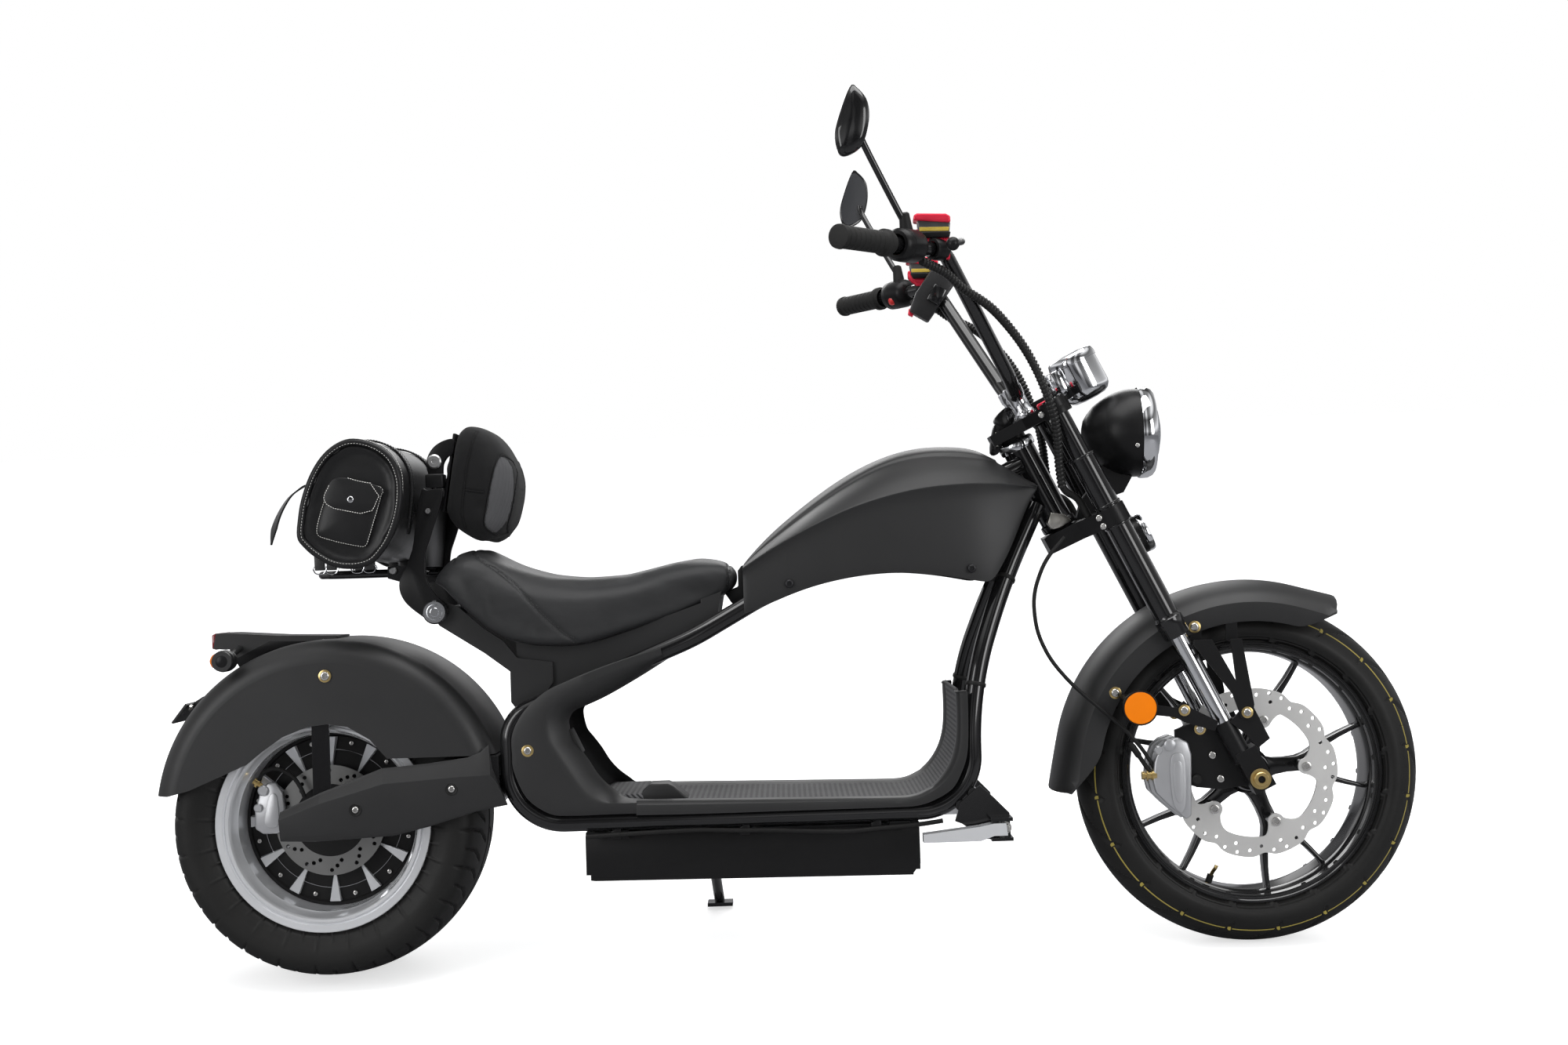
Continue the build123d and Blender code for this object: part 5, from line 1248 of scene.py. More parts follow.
for side, word in SIDES:
    rings = []
    for (x0, z0), (x1, z1), fold in columns:
        rows = [(0, 126), (0, 126.6), (0.04, 127.6), (fold, 138), (0.86, 133.0), (0.97, 131), (1, 129),
                (1, 126)]
        rings.append([Vector((x0 + (x1 - x0) * t, side * y, z0 + (z1 - z0) * t)) for t, y in rows])
    cover = loft(f"swing_cover_{word}", rings)
    soften(cover, 1.1, angle=9)
    settle(cover, "frame", matte_plastic, smooth=16)
    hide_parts("swing_arm_covers")

caliper_silver = finish("caliper_silver", (0.50, 0.505, 0.52), 0.36, metallic=0.75, grain=(700, 0.06),
                        cloud=0.10)
body_line = [(-112, 230), (-112, 256), (-104, 284), (-92, 299), (-80, 300), (-70, 284), (-66, 262),
             (-66, 234), (-78, 222), (-100, 222)]
rear_body = plate("rear_caliper_body", body_line, -62, -52, bevel=2.6)
settle(rear_body, "frame", caliper_silver, smooth=45)
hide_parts("rear_caliper")
rear_back = plate("rear_caliper_bridge", body_line[:4] + [(-92, 222)], -52, -34, bevel=2.0)
settle(rear_back, "frame", caliper_silver, smooth=45)
panel = smooth_line([(-96, 236), (-94, 262), (-86, 282), (-77, 278), (-75, 240), (-84, 231)], 4)
settle(plate("rear_caliper_panel", panel, -64.4, -61, bevel=1.2), "frame", caliper_silver)
plates("rear_caliper_carrier", [(-16, 218), (20, 226), (20, 252), (-10, 262), (-60, 285), (-66, 262),
                                (-64, 226)], 60, 66, satin_black, mirrored=False, bevel=1.0)
for name, place, radius in (("upper", (-98, -66, 288), 8), ("lower", (-106, -66, 262), 6.5)):
    spun(f"rear_caliper_boss_{name}", place, Vector(place) + Vector((0, 1, 0)),
         [(0, 0), (0, radius * 0.8), (1.4, radius), (6, radius), (6, 0)], caliper_silver, "frame", steps=24)
spun("rear_banjo", (-113, -56, 303), (-100, -56, 293),
     [(0, 0), (0, 5.5), (5, 5.5), (5, 7.5), (9, 7.5), (9, 4), (14, 4), (14, 0)], gold_plate, "frame",
     steps=16, smooth=25)
loop = [(-106, -58, 301), (-96, -64, 316), (-76, -67, 321), (-54, -67, 311), (-40, -67, 292),
        (-34, -67, 276)]
settle(bead("rear_brake_hose", rounded_line(loop, 5), 3.2, sides=4), "frame", rubber)

lens_red = finish("red_lens", (0.16, 0.006, 0.008), 0.12, coat=0.4, grain=(200, 0.02), specular=0.3)
plates("tail_lamp_lens", [(-178, 505), (-178, 526), (-171, 529), (-171, 503)], -37, 37, lens_red,
       mirrored=False, bevel=1.4)
amber = finish("amber_lens", (0.75, 0.18, 0.002), 0.22, grain=(170, 0.12), specular=0.2, dust=0.0)
for k, (side, _) in enumerate(SIDES):
    start = Vector((-133, side * 106, 489))
    spun(f"indicator_{k + 1}", start, start + Vector((0, side, 0)),
         [(0, 0), (0, 9), (3, 14), (10, 16.2), (26, 16.2), (32, 13), (35, 7), (36, 0)], satin_black,
         "frame", steps=32)
    back = Vector((-146, side * 124, 489))
    spun(f"indicator_lens_{k + 1}", back, back - Vector((1, 0, 0)),
         [(-6, 11.5), (1, 11.5), (5, 9), (8, 4), (8.6, 0)], amber, "frame", steps=28)
for k, (side, _) in enumerate(SIDES):
    point, out = Vector((-210, side * 50, 417)), Vector((-0.78, 0, 0.62))
    spun(f"plate_bolt_{k + 1}", point - out * 2, point + out,
         [(0, 5.5), (3.4, 5.2), (4.6, 3.6), (4.6, 2), (3, 2), (3, 0)], bolt_steel, "frame", steps=16)

for k, (side, _) in enumerate(SIDES):
    point = Vector((1018, side * 158, 207))
    spun(f"peg_bolt_{k + 1}", point + Vector((0, side * -8, 0)), point + Vector((0, side, 0)),
         [(0, 9), (2, 9), (2, 6.5), (7, 6.5), (8, 5), (8, 3), (5, 3), (5, 0)], bolt_steel, "frame",
         steps=20, smooth=25)
for side, word in SIDES:
    spun(f"pivot_disc_{word}", (179.6, side * 112, 551), (179.6, side * 113, 551),
         [(-10, 18), (0, 18), (2.5, 16), (2.5, 12), (1.2, 11), (1.2, 7), (3, 6), (3, 0)], polished_alloy,
         "frame")
for node in ("frame_spine", "battery_box", "seat_mount", "luggage_rack", "swing_arm", "plate_and_lamps",
             "side_stand", "peg_left", "peg_right", "fork_yokes", "fork_lugs", "fender_stays"):
    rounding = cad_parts[node].modifiers.new("rounded_edges", 'BEVEL')
    rounding.width = 0.0018 if node == "battery_box" else 0.0009
    rounding.segments = 2
    rounding.limit_method = 'ANGLE'
    rounding.angle_limit = math.radians(42)

# ---- floor tray, mat, side covers and tail
# A moulded floor that rolls over the lower frame tubes and climbs behind the front bend, a studded
# dark mat whose studs are painted pale as painted highlights, the two side covers that turn inward round the
# foot opening, and the shelf under the plate.


def studded(name, colour, stud_highlight_colour, pace, depth):
    """Moulded rubber with rows of small square studs, painted paler on their tops as painted highlights."""
    material = finish(name, colour, 0.62, grain=(600, 0.05), specular=0.3)
    tree = material.node_tree
    upright = add_node(tree, "Mapping", {"Vector": place_on(tree), "Rotation": (LEAN, 0, 0)})
    axes = add_node(tree, "SeparateXYZ", {0: upright}).outputs
    waves = [maths(tree, 'SINE', maths(tree, 'MULTIPLY', way, 2 * math.pi * 1000 / pace))
             for way in (maths(tree, 'ADD', axes["X"], axes["Z"]), axes["Y"])]
    stud = add_node(tree, "MapRange", {"Value": maths(tree, 'MINIMUM', *waves), "From Min": -0.35,
                                       "From Max": 0.15})
    bump = add_node(tree, "Bump", {"Distance": depth / 1000, "Height": stud})
    # Painted highlight: the studs are painted paler than the mat between them, as if their tops caught the
    # light.
    feed(tree.nodes["Principled BSDF"], {"Base Color": blend(tree, stud, colour, stud_highlight_colour),
                                         "Normal": bump})
    return material


studded_mat = studded("studded_mat", (0.022, 0.022, 0.024), (0.13, 0.13, 0.134), 8.0, 0.6)
# The rim's crest and foot, as pairs of (X, Z), from the covers forward and up the front bend.
crest = [(474, 259), (560, 257), (700, 254), (800, 252), (850, 251), (884, 252), (909, 261), (930, 278),
         (946, 302), (955, 330), (958, 362), (958, 400), (957.5, 406), (955, 409)]
foot = [(474, 241), (560, 240), (700, 240), (800, 240), (855, 240), (889, 241), (915, 248), (943, 264),
        (958, 288), (967, 314), (970, 350), (971, 400), (971, 406), (970, 409)]
crest, foot = (smooth_line(line, 4, False) for line in (crest, foot))
SEAM_ROW = 25
rows, mat_rows = [], []
for k, ((x, z), (low_x, low_z)) in enumerate(zip(crest, foot)):
    before, after = crest[max(k - 1, 0)], crest[min(k + 1, len(crest) - 1)]
    along = Vector((after[0] - before[0], after[1] - before[1])).normalized()
    up = Vector((-along.y, along.x))
    seam = 0.7 if k == SEAM_ROW else 0.0
    near = [(130 - seam, 0.0, 0), (130.4 - seam, 0.45, 0), (129 - seam, 0.74, 0), (125.5, 0.92, 0.2),
            (119, 1.0, 0.9 - seam), (110, 1.0, 0.6 - seam), (103, 1.0, -1.2), (99, 1.0, -3.2),
            (94, 1.0, -3.8)]
    half = [(y, low_x + (x - low_x) * share + up.x * lift, low_z + (z - low_z) * share + up.y * lift)
            for y, share, lift in near]
    rows.append([(px, -y, pz) for y, px, pz in half] + [(px, y, pz) for y, px, pz in reversed(half)])
    if x < 957 or z < 398:
        mat_rows.append([(x + up.x * lift, y, z + up.y * lift) for y,
                         lift in ((-93, -4.5), (-93, -2), (-91.5, -1.2), (91.5, -1.2), (93, -2),
                                  (93, -4.5))])
tray = skin("floor_tray_skin", rows)
apply_modifier(tray, 'SOLIDIFY', thickness=2.6, offset=-1)
settle(tray, "frame", matte_plastic, smooth=28)
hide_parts("floor_tray")
mat_rows = [[(x - 70, y, z + 1.0) for x, y, z in mat_rows[0]]] + mat_rows
mat = skin("floor_mat_skin", mat_rows)
apply_modifier(mat, 'SOLIDIFY', thickness=1.5, offset=-1)
settle(mat, "frame", studded_mat, smooth=28)
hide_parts("floor_mat")
plates("mat_step", [(406, 256), (411, 263), (424, 267), (482, 267), (484, 256)], -88, 88, studded_mat,
       mirrored=False, bevel=1.5)
plates("mat_hatch", [(476, 256), (481, 271), (492, 281), (519, 281), (527, 277), (549, 258), (549, 254)],
       -88, -38, matte_plastic, mirrored=False, bevel=2.0)
plates("tray_tail", [(404, 246), (404, 258), (480, 258), (480, 250), (470, 246)], -100, 100, matte_plastic,
       mirrored=False, bevel=1.5)


def bent(points, bends):
    """The centre line of a bar with a true arc of its own radius at every corner between its ends."""
    points = [Vector(point) for point in points]
    made = [points[0]]
    for before, here, after, radius in zip(points, points[1:], points[2:], bends):
        back, ahead = (before - here).normalized(), (after - here).normalized()
        half = back.angle(ahead) / 2
        centre = here + (back + ahead).normalized() * radius / math.sin(half)
        start, end = (here + way * radius / math.tan(half) - centre for way in (back, ahead))
        turn = math.pi - 2 * half
        steps = max(3, int(turn * radius / 6))
        made += [centre + (start * math.sin((1 - k / steps) * turn) + end * math.sin(k / steps * turn))
                 / math.sin(turn) for k in range(steps + 1)]
    return made + [points[-1]]


for side, word in SIDES:
    corners = [(x, side * y, z) for x, y,
               z in ((1098, 20, 683), (1036, 66, 566), (977, 112, 408), (977, 112, 231), (286, 112, 231),
                     (286, 112, 390), (566, 112, 500), (660, 100, 552), (1076, 20, 747))]
    middle = bent(corners, [1000, 390, 80, 80, 50, 300, 300])
    loop = settle(bead(f"frame_loop_{word}", middle, 14, sides=8), "frame", gloss_black, smooth=50)
    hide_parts("frame_loops")
    for name, height in (("upper", 573), ("lower", 416)):
        k = next(k for k, point in enumerate(middle) if point.z < height)
        place = middle[k - 1].lerp(middle[k], (middle[k - 1].z - height) / (middle[k - 1].z - middle[k].z))
        spun(f"loop_tie_{name}_{word}", place, place + (middle[k] - middle[k - 1]).normalized(),
             [(-3, 13.6), (-3, 15), (-2, 15.6), (2, 15.6), (3, 15), (3, 13.6)], rubber, "frame")
plates("battery_side", [(393.5, 208), (393.5, 149), (400, 149), (400, 141), (407, 140), (884, 134),
                        (884, 142), (894.5, 142), (894.5, 208)], 98.1, 99.3, satin_black, bevel=0.4)
dress("peg_left", rim_alloy)
dress("peg_right", rim_alloy)

# Each station of a side cover runs from its outer edge over the crease to the lip inside the opening.
cover_run = [((517, 488), (519, 477), (526, 469)), ((470, 475), (474, 464), (480, 442)),
             ((417, 458), (424, 446), (433, 417)), ((370, 440), (386, 429), (400, 403)),
             ((344, 428), (364, 416), (385, 397)), ((317, 406), (349, 401), (377, 388)),
             ((300, 383), (342, 381), (375, 377)), ((292, 361), (344, 358), (380, 354)),
             ((292, 335), (356, 336), (390, 340)), ((294, 311), (370, 313), (403, 322)),
             ((312, 271), (386, 289), (415, 302)), ((345, 247), (403, 269), (429, 286)),
             ((377, 243), (422, 261), (444, 274)), ((430, 243), (446, 259), (458, 264)),
             ((474, 243), (474, 259), (475, 262))]
cover_lines = [smooth_line(line, 4, False) for line in zip(*cover_run)]
cover_section = [("edge", 0.0, 126.6), ("edge", 0.0, 130.2), ("edge", 0.12, 131.8), ("edge", 0.9, 132.2),
                 ("lip", 0.04, 131.9), ("lip", 0.22, 129.2), ("lip", 0.55, 121.5), ("lip", 0.88, 109),
                 ("lip", 1.0, 101), ("lip", 0.97, 100), ("lip", 0.80, 108), ("lip", 0.45, 120),
                 ("lip", 0.12, 127)]
for side, word in SIDES:
    rings = []
    for outer, fold, lip in zip(*cover_lines):
        ring = []
        for zone, share, y in cover_section:
            (x0, z0), (x1, z1) = (outer, fold) if zone == "edge" else (fold, lip)
            ring.append(Vector((x0 + (x1 - x0) * share, side * y, z0 + (z1 - z0) * share)))
        rings.append(ring)
    cover = settle(loft(f"side_cover_{word}", rings), "frame", matte_plastic, smooth=40)
    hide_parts("side_covers")
plates("charge_port", [(366, 366), (377, 369), (394, 333), (385, 329)], -104, -66, rubber, mirrored=False)
for k, x in enumerate((440, 632, 828)):
    plates(f"cable_clip_{k + 1}", [(x - 6, 205), (x + 9, 205), (x + 9, 219), (x + 3, 221), (x - 6, 216)],
           112, 120, satin_black, bevel=1.2)
plates("tail_shelf", [(-150, 526), (-76, 519), (14, 517), (-30, 512), (-90, 499), (-135, 474), (-150, 500)],
       -40, 40, satin_black, mirrored=False, bevel=0.6)
plates("tank_back", [(612, 566), (634, 574), (634, 598), (640, 606), (650, 606), (650, 548), (624, 548)],
       -60, 60, satin_black, mirrored=False, bevel=2.0)

# ---- fork, fender fittings and caliper
# Dust seals and collars on the fork legs, bolts with gold washers, amber reflectors and the
# silver front caliper with its long raised panel.


def steer(ahead, across, along):
    """A point measured from the steering head: ahead of its axis, across, and up along it."""
    return HEAD + Vector((ahead * math.cos(RAKE) - along * math.sin(RAKE), across,
                          ahead * math.sin(RAKE) + along * math.cos(RAKE)))


for side, word in SIDES:
    foot, above = steer(69, side * 97, -700), steer(69, side * 97, 0)
    spun(f"fork_cap_{word}", foot, above, [(738, 0), (738, 15), (736, 19), (722, 22.6), (714, 22.6)],
         satin_black, "steering")
    spun(f"fork_seal_{word}", foot, above, [(336, 14), (336, 19), (339, 20.6), (352, 20.6), (354, 21.8),
                                            (366, 21.8), (368, 20), (372, 19.3)], gloss_black, "steering")
    for low in (-176, -143.5, -62):
        base = low + 700
        spun(f"fork_ring_{word}_{-int(low)}", foot, above,
             [(base, 19), (base, 20.4), (base + 1, 21), (base + 3.4, 21), (base + 4.4, 20.4),
              (base + 4.4, 19)], gloss_black, "steering")
spun("head_cup_top", steer(0, 0, -6), steer(0, 0, 0),
     [(0, 24), (0, 27), (3, 28.5), (13, 28.5), (16, 26), (17, 20)], chrome, "frame")
spun("head_cup_low", steer(0, 0, -143), steer(0, 0, -100),
     [(0, 20), (0, 26.5), (2, 28), (11, 28), (13, 25)], gloss_black, "frame")
for k, (along, ahead) in enumerate(((-152, 47), (-166, 47), (25, 44))):
    for side, word in SIDES:
        point = steer(ahead, side * (111.5 if along < 0 else 109.6), along)
        domed_screw(f"yoke_bolt_{k + 1}_{word}", point, 5.0, bolt_steel, "steering")
for k, point in enumerate(both([(1325, 84.2, 492), (1203, 82.6, 396)])):
    domed_screw(f"front_fender_bolt_{k + 1}", point, 6.5, bolt_steel, "steering", washer=9.2)
for k, point in enumerate(both([(1393, 116, 364), (1300, 117, 370), (1322.6, 113, 341)])):
    domed_screw(f"stay_bolt_{k + 1}", point, 6.0, bolt_steel, "steering", washer=8.6)
for k, (side, _) in enumerate(SIDES):
    hub = Vector((1410, side * 112.6, 264))
    spun(f"front_axle_nut_{k + 1}", hub, hub + Vector((0, side, 0)),
         [(0, 15.5), (1.6, 15.5), (1.6, 11), (8, 11), (9.2, 9.8), (9.2, 5.5), (5, 5), (5, 0)], gold_plate,
         "steering", steps=6 if side > 0 else 32, smooth=25)
    glass = Vector((1234, side * 114.5, 376))
    spun(f"reflector_rim_{k + 1}", glass, glass + Vector((0, side, 0)),
         [(0, 0), (0, 25), (2, 26.4), (9.5, 26.4), (11.3, 25.4), (11.3, 24)], satin_black, "steering",
         steps=56)
    spun(f"reflector_glass_{k + 1}", glass, glass + Vector((0, side, 0)),
         [(10.6, 24.1), (11.6, 23.2), (12.4, 0)], amber, "steering", steps=56)
body_line = [(1293, 327), (1308, 319), (1313, 300), (1310, 208), (1301, 203), (1275, 226), (1258, 244),
             (1254, 262), (1257, 290), (1266, 312), (1278, 322)]
front_body = plate("front_caliper_body", body_line, -91, -76, bevel=2.8)
settle(front_body, "steering", caliper_silver, smooth=45)
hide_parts("front_caliper")
for name, share, low, high in (("middle", 5, -77, -58), ("inner", 8, -57, -38)):
    settle(plate(f"front_caliper_{name}", [(x - share, z) for x, z in body_line if x < 1312], low, high,
                 bevel=2.0), "steering", caliper_silver)
panel = smooth_line([(1283, 228), (1280, 262), (1282, 296), (1291, 304), (1301, 297), (1303, 262),
                     (1300, 222), (1292, 214)], 4)
settle(plate("front_caliper_panel", panel, -94.2, -90, bevel=1.4), "steering", caliper_silver)
panel = [(1291 + (x - 1291) * 0.62, 262 + (z - 262) * 0.70) for x, z in panel]
settle(plate("front_caliper_inset", panel, -95.4, -93.6, bevel=0.8), "steering", caliper_silver)
for name, place, radius, stuff in (("boss", (1281, -95, 316), 9.0, caliper_silver),
                                   ("ear", (1264, -92, 308), 6.5, caliper_silver),
                                   ("pin", (1320, -92, 262), 7.5, rubber)):
    spun(f"front_caliper_{name}", place, Vector(place) + Vector((0, 1, 0)),
         [(0, 0), (0, radius * 0.75), (1.6, radius), (14, radius), (14, 0)], stuff, "steering", steps=24)
spun("front_banjo_bolt", (1238, -84, 270), (1260, -84, 270),
     [(0, 0), (0, 6.2), (5, 6.2), (5, 4.5), (7, 4.5), (7, 8.5), (9, 8.5), (9, 6), (15, 6), (15, 8), (22, 8),
      (22, 0)], gold_plate, "steering", steps=18, smooth=25)
spun("front_hose_end", (1226, -84, 314), (1250, -82, 276),
     [(-8, 3.4), (0, 5), (16, 5), (18, 3.6), (44, 3.4)], rubber, "steering", steps=14)
for k, point in enumerate(((1345, -84.4, 298), (1356, -84.4, 262))):
    domed_screw(f"carrier_bolt_{k + 1}", point, 6.0, bolt_steel, "steering")

# ---- backrest post, rack fittings and front fender
# Rounded post bars with a hooked arm over them, a slotted cross plate, the bag's D-rings, and
# the front fender with its flared ends.
post_line = [(173, 735), (195, 735), (191, 709), (177, 668), (168, 640), (167, 604), (181, 577), (196, 562),
             (197, 546), (179, 534), (160, 545), (133, 570), (127, 600), (147, 645), (155, 701), (164, 735)]
plates("post_bar", smooth_line(post_line), 98.3, 106.3, satin_black, bevel=2.4)
arm_line = [(177, 752), (170, 768), (171, 784), (181, 800), (198, 810), (213, 810), (209, 787), (203, 786),
            (195, 774), (192, 752)]
plates("post_arm", smooth_line(arm_line), 80.3, 92.3, satin_black, bevel=2.4)
plates("post_collar", [(170, 738), (170, 759), (197, 759), (197, 738)], 76.3, 107.3, satin_black, bevel=2.4)
for k, (side, _) in enumerate(SIDES):
    for name, place, radius in (("pivot", (182, side * 92.6, 778), 11),
                                ("rack", (118, side * 106, 615), 5.5),
                                ("post", (173, side * 106.3, 703), 4.5)):
        spun(f"{name}_bolt_{k + 1}", place, Vector(place) + Vector((0, side, 0)),
             [(-4, radius), (2, radius), (3.6, radius * 0.8), (3.6, radius * 0.35), (2, radius * 0.3),
              (2, 0)], brushed_steel, "frame", steps=32, smooth=30)
slotted = plate("slotted_plate", [(147, 621), (160, 699), (165, 734), (170, 733), (166, 698), (157, 620)],
                -97.6, 97.6, bevel=0.6)
settle(slotted, "frame", satin_black)
for side, word in SIDES:
    pin = Vector((183, side * 101.3, 728))
    spun(f"post_pin_{word}", pin, pin + Vector((0, 0, 1)), [(0, 0), (0, 4.5), (18, 4.5), (18, 0)],
         satin_black, "frame")
post_pad = plate("post_pad_plate", [(211, 820), (215, 820), (195, 702), (190.5, 703)], -90.3, 90.3,
                 bevel=0.8)
settle(post_pad, "frame", satin_black)
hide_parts("backrest_post")
for x in (12, 30, 68, 86):
    for side, _ in SIDES:
        ring_line = [(x + 2 + ahead, side * 130, 622 + up)
                     for ahead, up in ((-9, 2), (9, 2), (9, -3), (5, -8), (-5, -8), (-9, -3))]
        settle(bead(f"bag_ring_{x}_{side}", rounded_line(ring_line, 3, True), 0.95, closed=True), "frame",
               chrome)
        settle(plate(f"bag_tab_{x}_{side}", [(x - 6, 656), (x + 10, 656), (x + 9, 619), (x - 5, 619)],
                     *sorted((side * 126, side * 133)), bevel=1.2), "frame", black_leather)

rows = []
for step in range(62, 186, 2):
    tip, nose = max(0.0, (step - 168) / 17), max(0.0, (74 - step) / 12)
    grow = 12 * tip ** 2 + 7 * nose ** 2
    rim_r = 234 + 44 * tip ** 2 + 36 * nose ** 2
    half = [(80, rim_r), (80.6, max(262, rim_r + 2)), (73, 271), (62, 278), (46, 284.5), (24, 289.5),
            (0, 291)]
    half = [(y, (r + grow) if k > 1 else r + grow * 0.6) for k, (y, r) in enumerate(half)]
    section = [(-y, r) for y, r in half] + list(reversed(half[:-1]))
    rows.append([round_wheel(FRONT_AXLE, r, step, y) for y, r in section])
fender = skin("front_fender_skin", rows)
apply_modifier(fender, 'SOLIDIFY', thickness=3.4, offset=1.0)
soften(fender, 0.8, angle=50)
settle(fender, "steering", matte_plastic, smooth=28)
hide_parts("front_fender")

# ---- lamp, dial and horn
# A round black bucket with a chrome bezel and a domed lens, the chrome dial with its smaller
# twin behind it, and a chrome-rimmed horn.
LAMP = HEAD + Vector((187, 0, 15))
ahead = LAMP + Vector((1, 0, 0))
bucket = [(-86, 0), (-86, 12), (-83.5, 22), (-78, 31), (-68, 43), (-56, 52), (-40, 60.5), (-22, 65.8),
          (-4, 68), (0, 68)]
spun("lamp_bucket", LAMP, ahead, bucket, satin_black, "steering", steps=96)
spun("lamp_bezel", LAMP, ahead, [(0, 66), (0, 70.2), (3, 71), (13, 70.4), (20, 67), (23, 63), (22, 60),
                                 (19, 59.5)], chrome, "steering", steps=96)
lamp_glass = finish("lamp_glass", (0.60, 0.63, 0.66), 0.06, metallic=0.75, grain=(40, 0.02), cloud=0.12)
lens = spun("lamp_lens", LAMP, ahead, [(19, 60), (24, 52), (29, 38), (33, 20), (34.5, 0)], lamp_glass,
            "steering", steps=72)
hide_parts("headlight_lens")
for side, word in SIDES:
    domed_screw(f"lamp_screw_{word}", (LAMP.x - 10, side * 65, LAMP.z - 22), 3.6, bolt_steel, "steering")
can = [(12, 0), (12, 10), (13.5, 24), (17, 31), (23, 35.4), (29, 37), (72, 37), (72.6, 38.4), (79, 38.4),
       (86, 36.4), (88.4, 33.5), (88.4, 31)]
dial = spun("dial_can", steer(137, 0, 0), steer(137, 0, 1), can, chrome, "steering", steps=72)
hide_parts("speedometer")
dial_black = finish("dial_face", (0.006, 0.006, 0.007), 0.10, coat=0.5, grain=(300, 0.01), specular=0.4)
spun("dial_glass", steer(137, 0, 0), steer(137, 0, 1), [(87.6, 31.4), (89.4, 20), (90, 0)], dial_black,
     "steering", steps=48)
spun("dial_twin", steer(101, -4, 0), steer(101, -4, 1),
     [(36, 0), (36, 12), (39, 18), (44, 20.5), (74, 20.5), (76, 19.4), (76, 16), (74, 15), (74, 0)], chrome,
     "steering", steps=48)
arm = [(1088, 838), (1104, 846), (1164, 875), (1178, 870), (1164, 860), (1108, 834)]
settle(plate("dial_arm", arm, -14, 14, bevel=1.4), "steering", satin_black)
horn_ring = [(98, 0), (98, 20), (101, 28), (106, 31.4), (113, 31.6), (116, 30), (116, 27), (113.4, 26)]
spun("horn_rim", steer(0, 0, -209), steer(1, 0, -209), horn_ring, chrome, "steering", steps=56)
horn_face = [(113, 26.4), (113.4, 22), (112.4, 21), (112.4, 17), (113.6, 16), (113.6, 11), (116.6, 9.6),
             (117, 0)]
spun("horn_face", steer(0, 0, -209), steer(1, 0, -209), horn_face, satin_black, "steering", steps=48)
for side, word in SIDES:
    spun(f"riser_{word}", steer(30, side * 45, 0), steer(30, side * 45, 1),
         [(34.6, 12), (34.6, 16.5), (38, 17.2), (42, 16.2), (46, 13.6), (66, 13.6), (70, 15.4), (84, 15.4),
          (86, 13.6), (86, 0)], chrome, "steering", steps=36)
red_anodised = finish("red_anodised", (0.72, 0.02, 0.055), 0.25, metallic=0.35, grain=(500, 0.01))
spun("yoke_red_cap", steer(58, -62, 34), steer(58, -62, 40),
     [(0, 9), (7, 9), (8.4, 7.6), (8.4, 3.4), (5, 3.4), (5, 0)], red_anodised, "steering", steps=24)
zinc = finish("zinc_plate", (0.62, 0.60, 0.55), 0.30, metallic=1.0, grain=(500, 0.02), cloud=0.12)
block = [(1112, 655), (1118, 672), (1140, 668), (1150, 658), (1134, 648), (1120, 645)]
settle(plate("lock_block", block, -40, -20, bevel=2.4), "frame", zinc)
fob = smooth_line([(1039, 817), (1059.5, 839), (1073, 827), (1061, 800)], 4)
settle(plate("key_fob_top", fob, -7, 7, bevel=2.0), "steering", gloss_black)
fob = smooth_line([(1040, 812), (1056, 804), (1048, 770), (1032, 768)], 4)
settle(plate("key_fob_low", fob, -6, 6, bevel=2.0), "steering", gloss_black)
settle(plate("key_fob_inlay", [(1041, 800), (1048, 800), (1045, 778), (1039, 778)], -7, -5, bevel=0.6),
       "steering", zinc)

# ---- handlebar
# Ribbed grips, the throttle and switch housings, red master cylinders over clear reservoirs,
# levers, the battery-meter box, mirrors and the spiral wrap of both looms.


def at_head(x, y, z):
    """A point measured from the steering head, level with the ground."""
    return HEAD + Vector((x, y, z))


def head_line(points):
    """A side-view outline measured from the steering head, level with the ground."""
    return [(HEAD.x + x, HEAD.z + z) for x, z in points]


fluid = finish("brake_fluid", (0.50, 0.36, 0.05), 0.15, coat=0.5, grain=(60, 0.01))
clear = finish("smoked_reservoir", (0.05, 0.05, 0.05), 0.10, coat=0.5, grain=(60, 0.01))
grip_rubber = finish("grip_rubber", (0.010, 0.010, 0.010), 0.6, grain=(800, 0.08), dust=0.05, specular=0.2)
grip_rows = [(0, 0), (0, 12), (1.5, 16.8), (7, 17.4), (8, 16.2)]
for rib in range(11, 99, 11):
    grip_rows += [(rib, 15.2), (rib + 1, 16.1), (rib + 9, 16.1), (rib + 10, 15.2)]
grip_rows += [(100, 16), (103, 19.5), (110, 19.5), (112, 17), (118, 16)]
# Pieces of both brake cylinders: name, side-view outline, near and far distance across, finish, edge.
brake_parts = [
    ("reservoir", [(-150, 303), (-106, 302), (-104, 318), (-152, 322)], 199, 230, clear, 2.0),
    ("fluid", [(-149, 306), (-107, 305), (-106, 311), (-149, 312)], 198.4, 230.6, fluid, 0.5),
    ("reservoir_foot", [(-147, 296), (-106, 296), (-104, 304), (-151, 305)],
     197.5, 231.5, satin_black, 1.5),
    ("cap", [(-157, 322), (-104, 317), (-104, 326), (-110, 330), (-152, 332), (-157, 329)],
     196, 233, red_anodised, 2.0),
    ("clamp", [(-155, 298), (-140, 284), (-104, 284), (-103, 296), (-136, 298), (-146, 310), (-155, 310)],
     206, 226, red_anodised, 2.4),
    ("clamp_tab", [(-112, 266), (-106, 266), (-104, 286), (-112, 286)], 208, 222, red_anodised, 1.0),
]
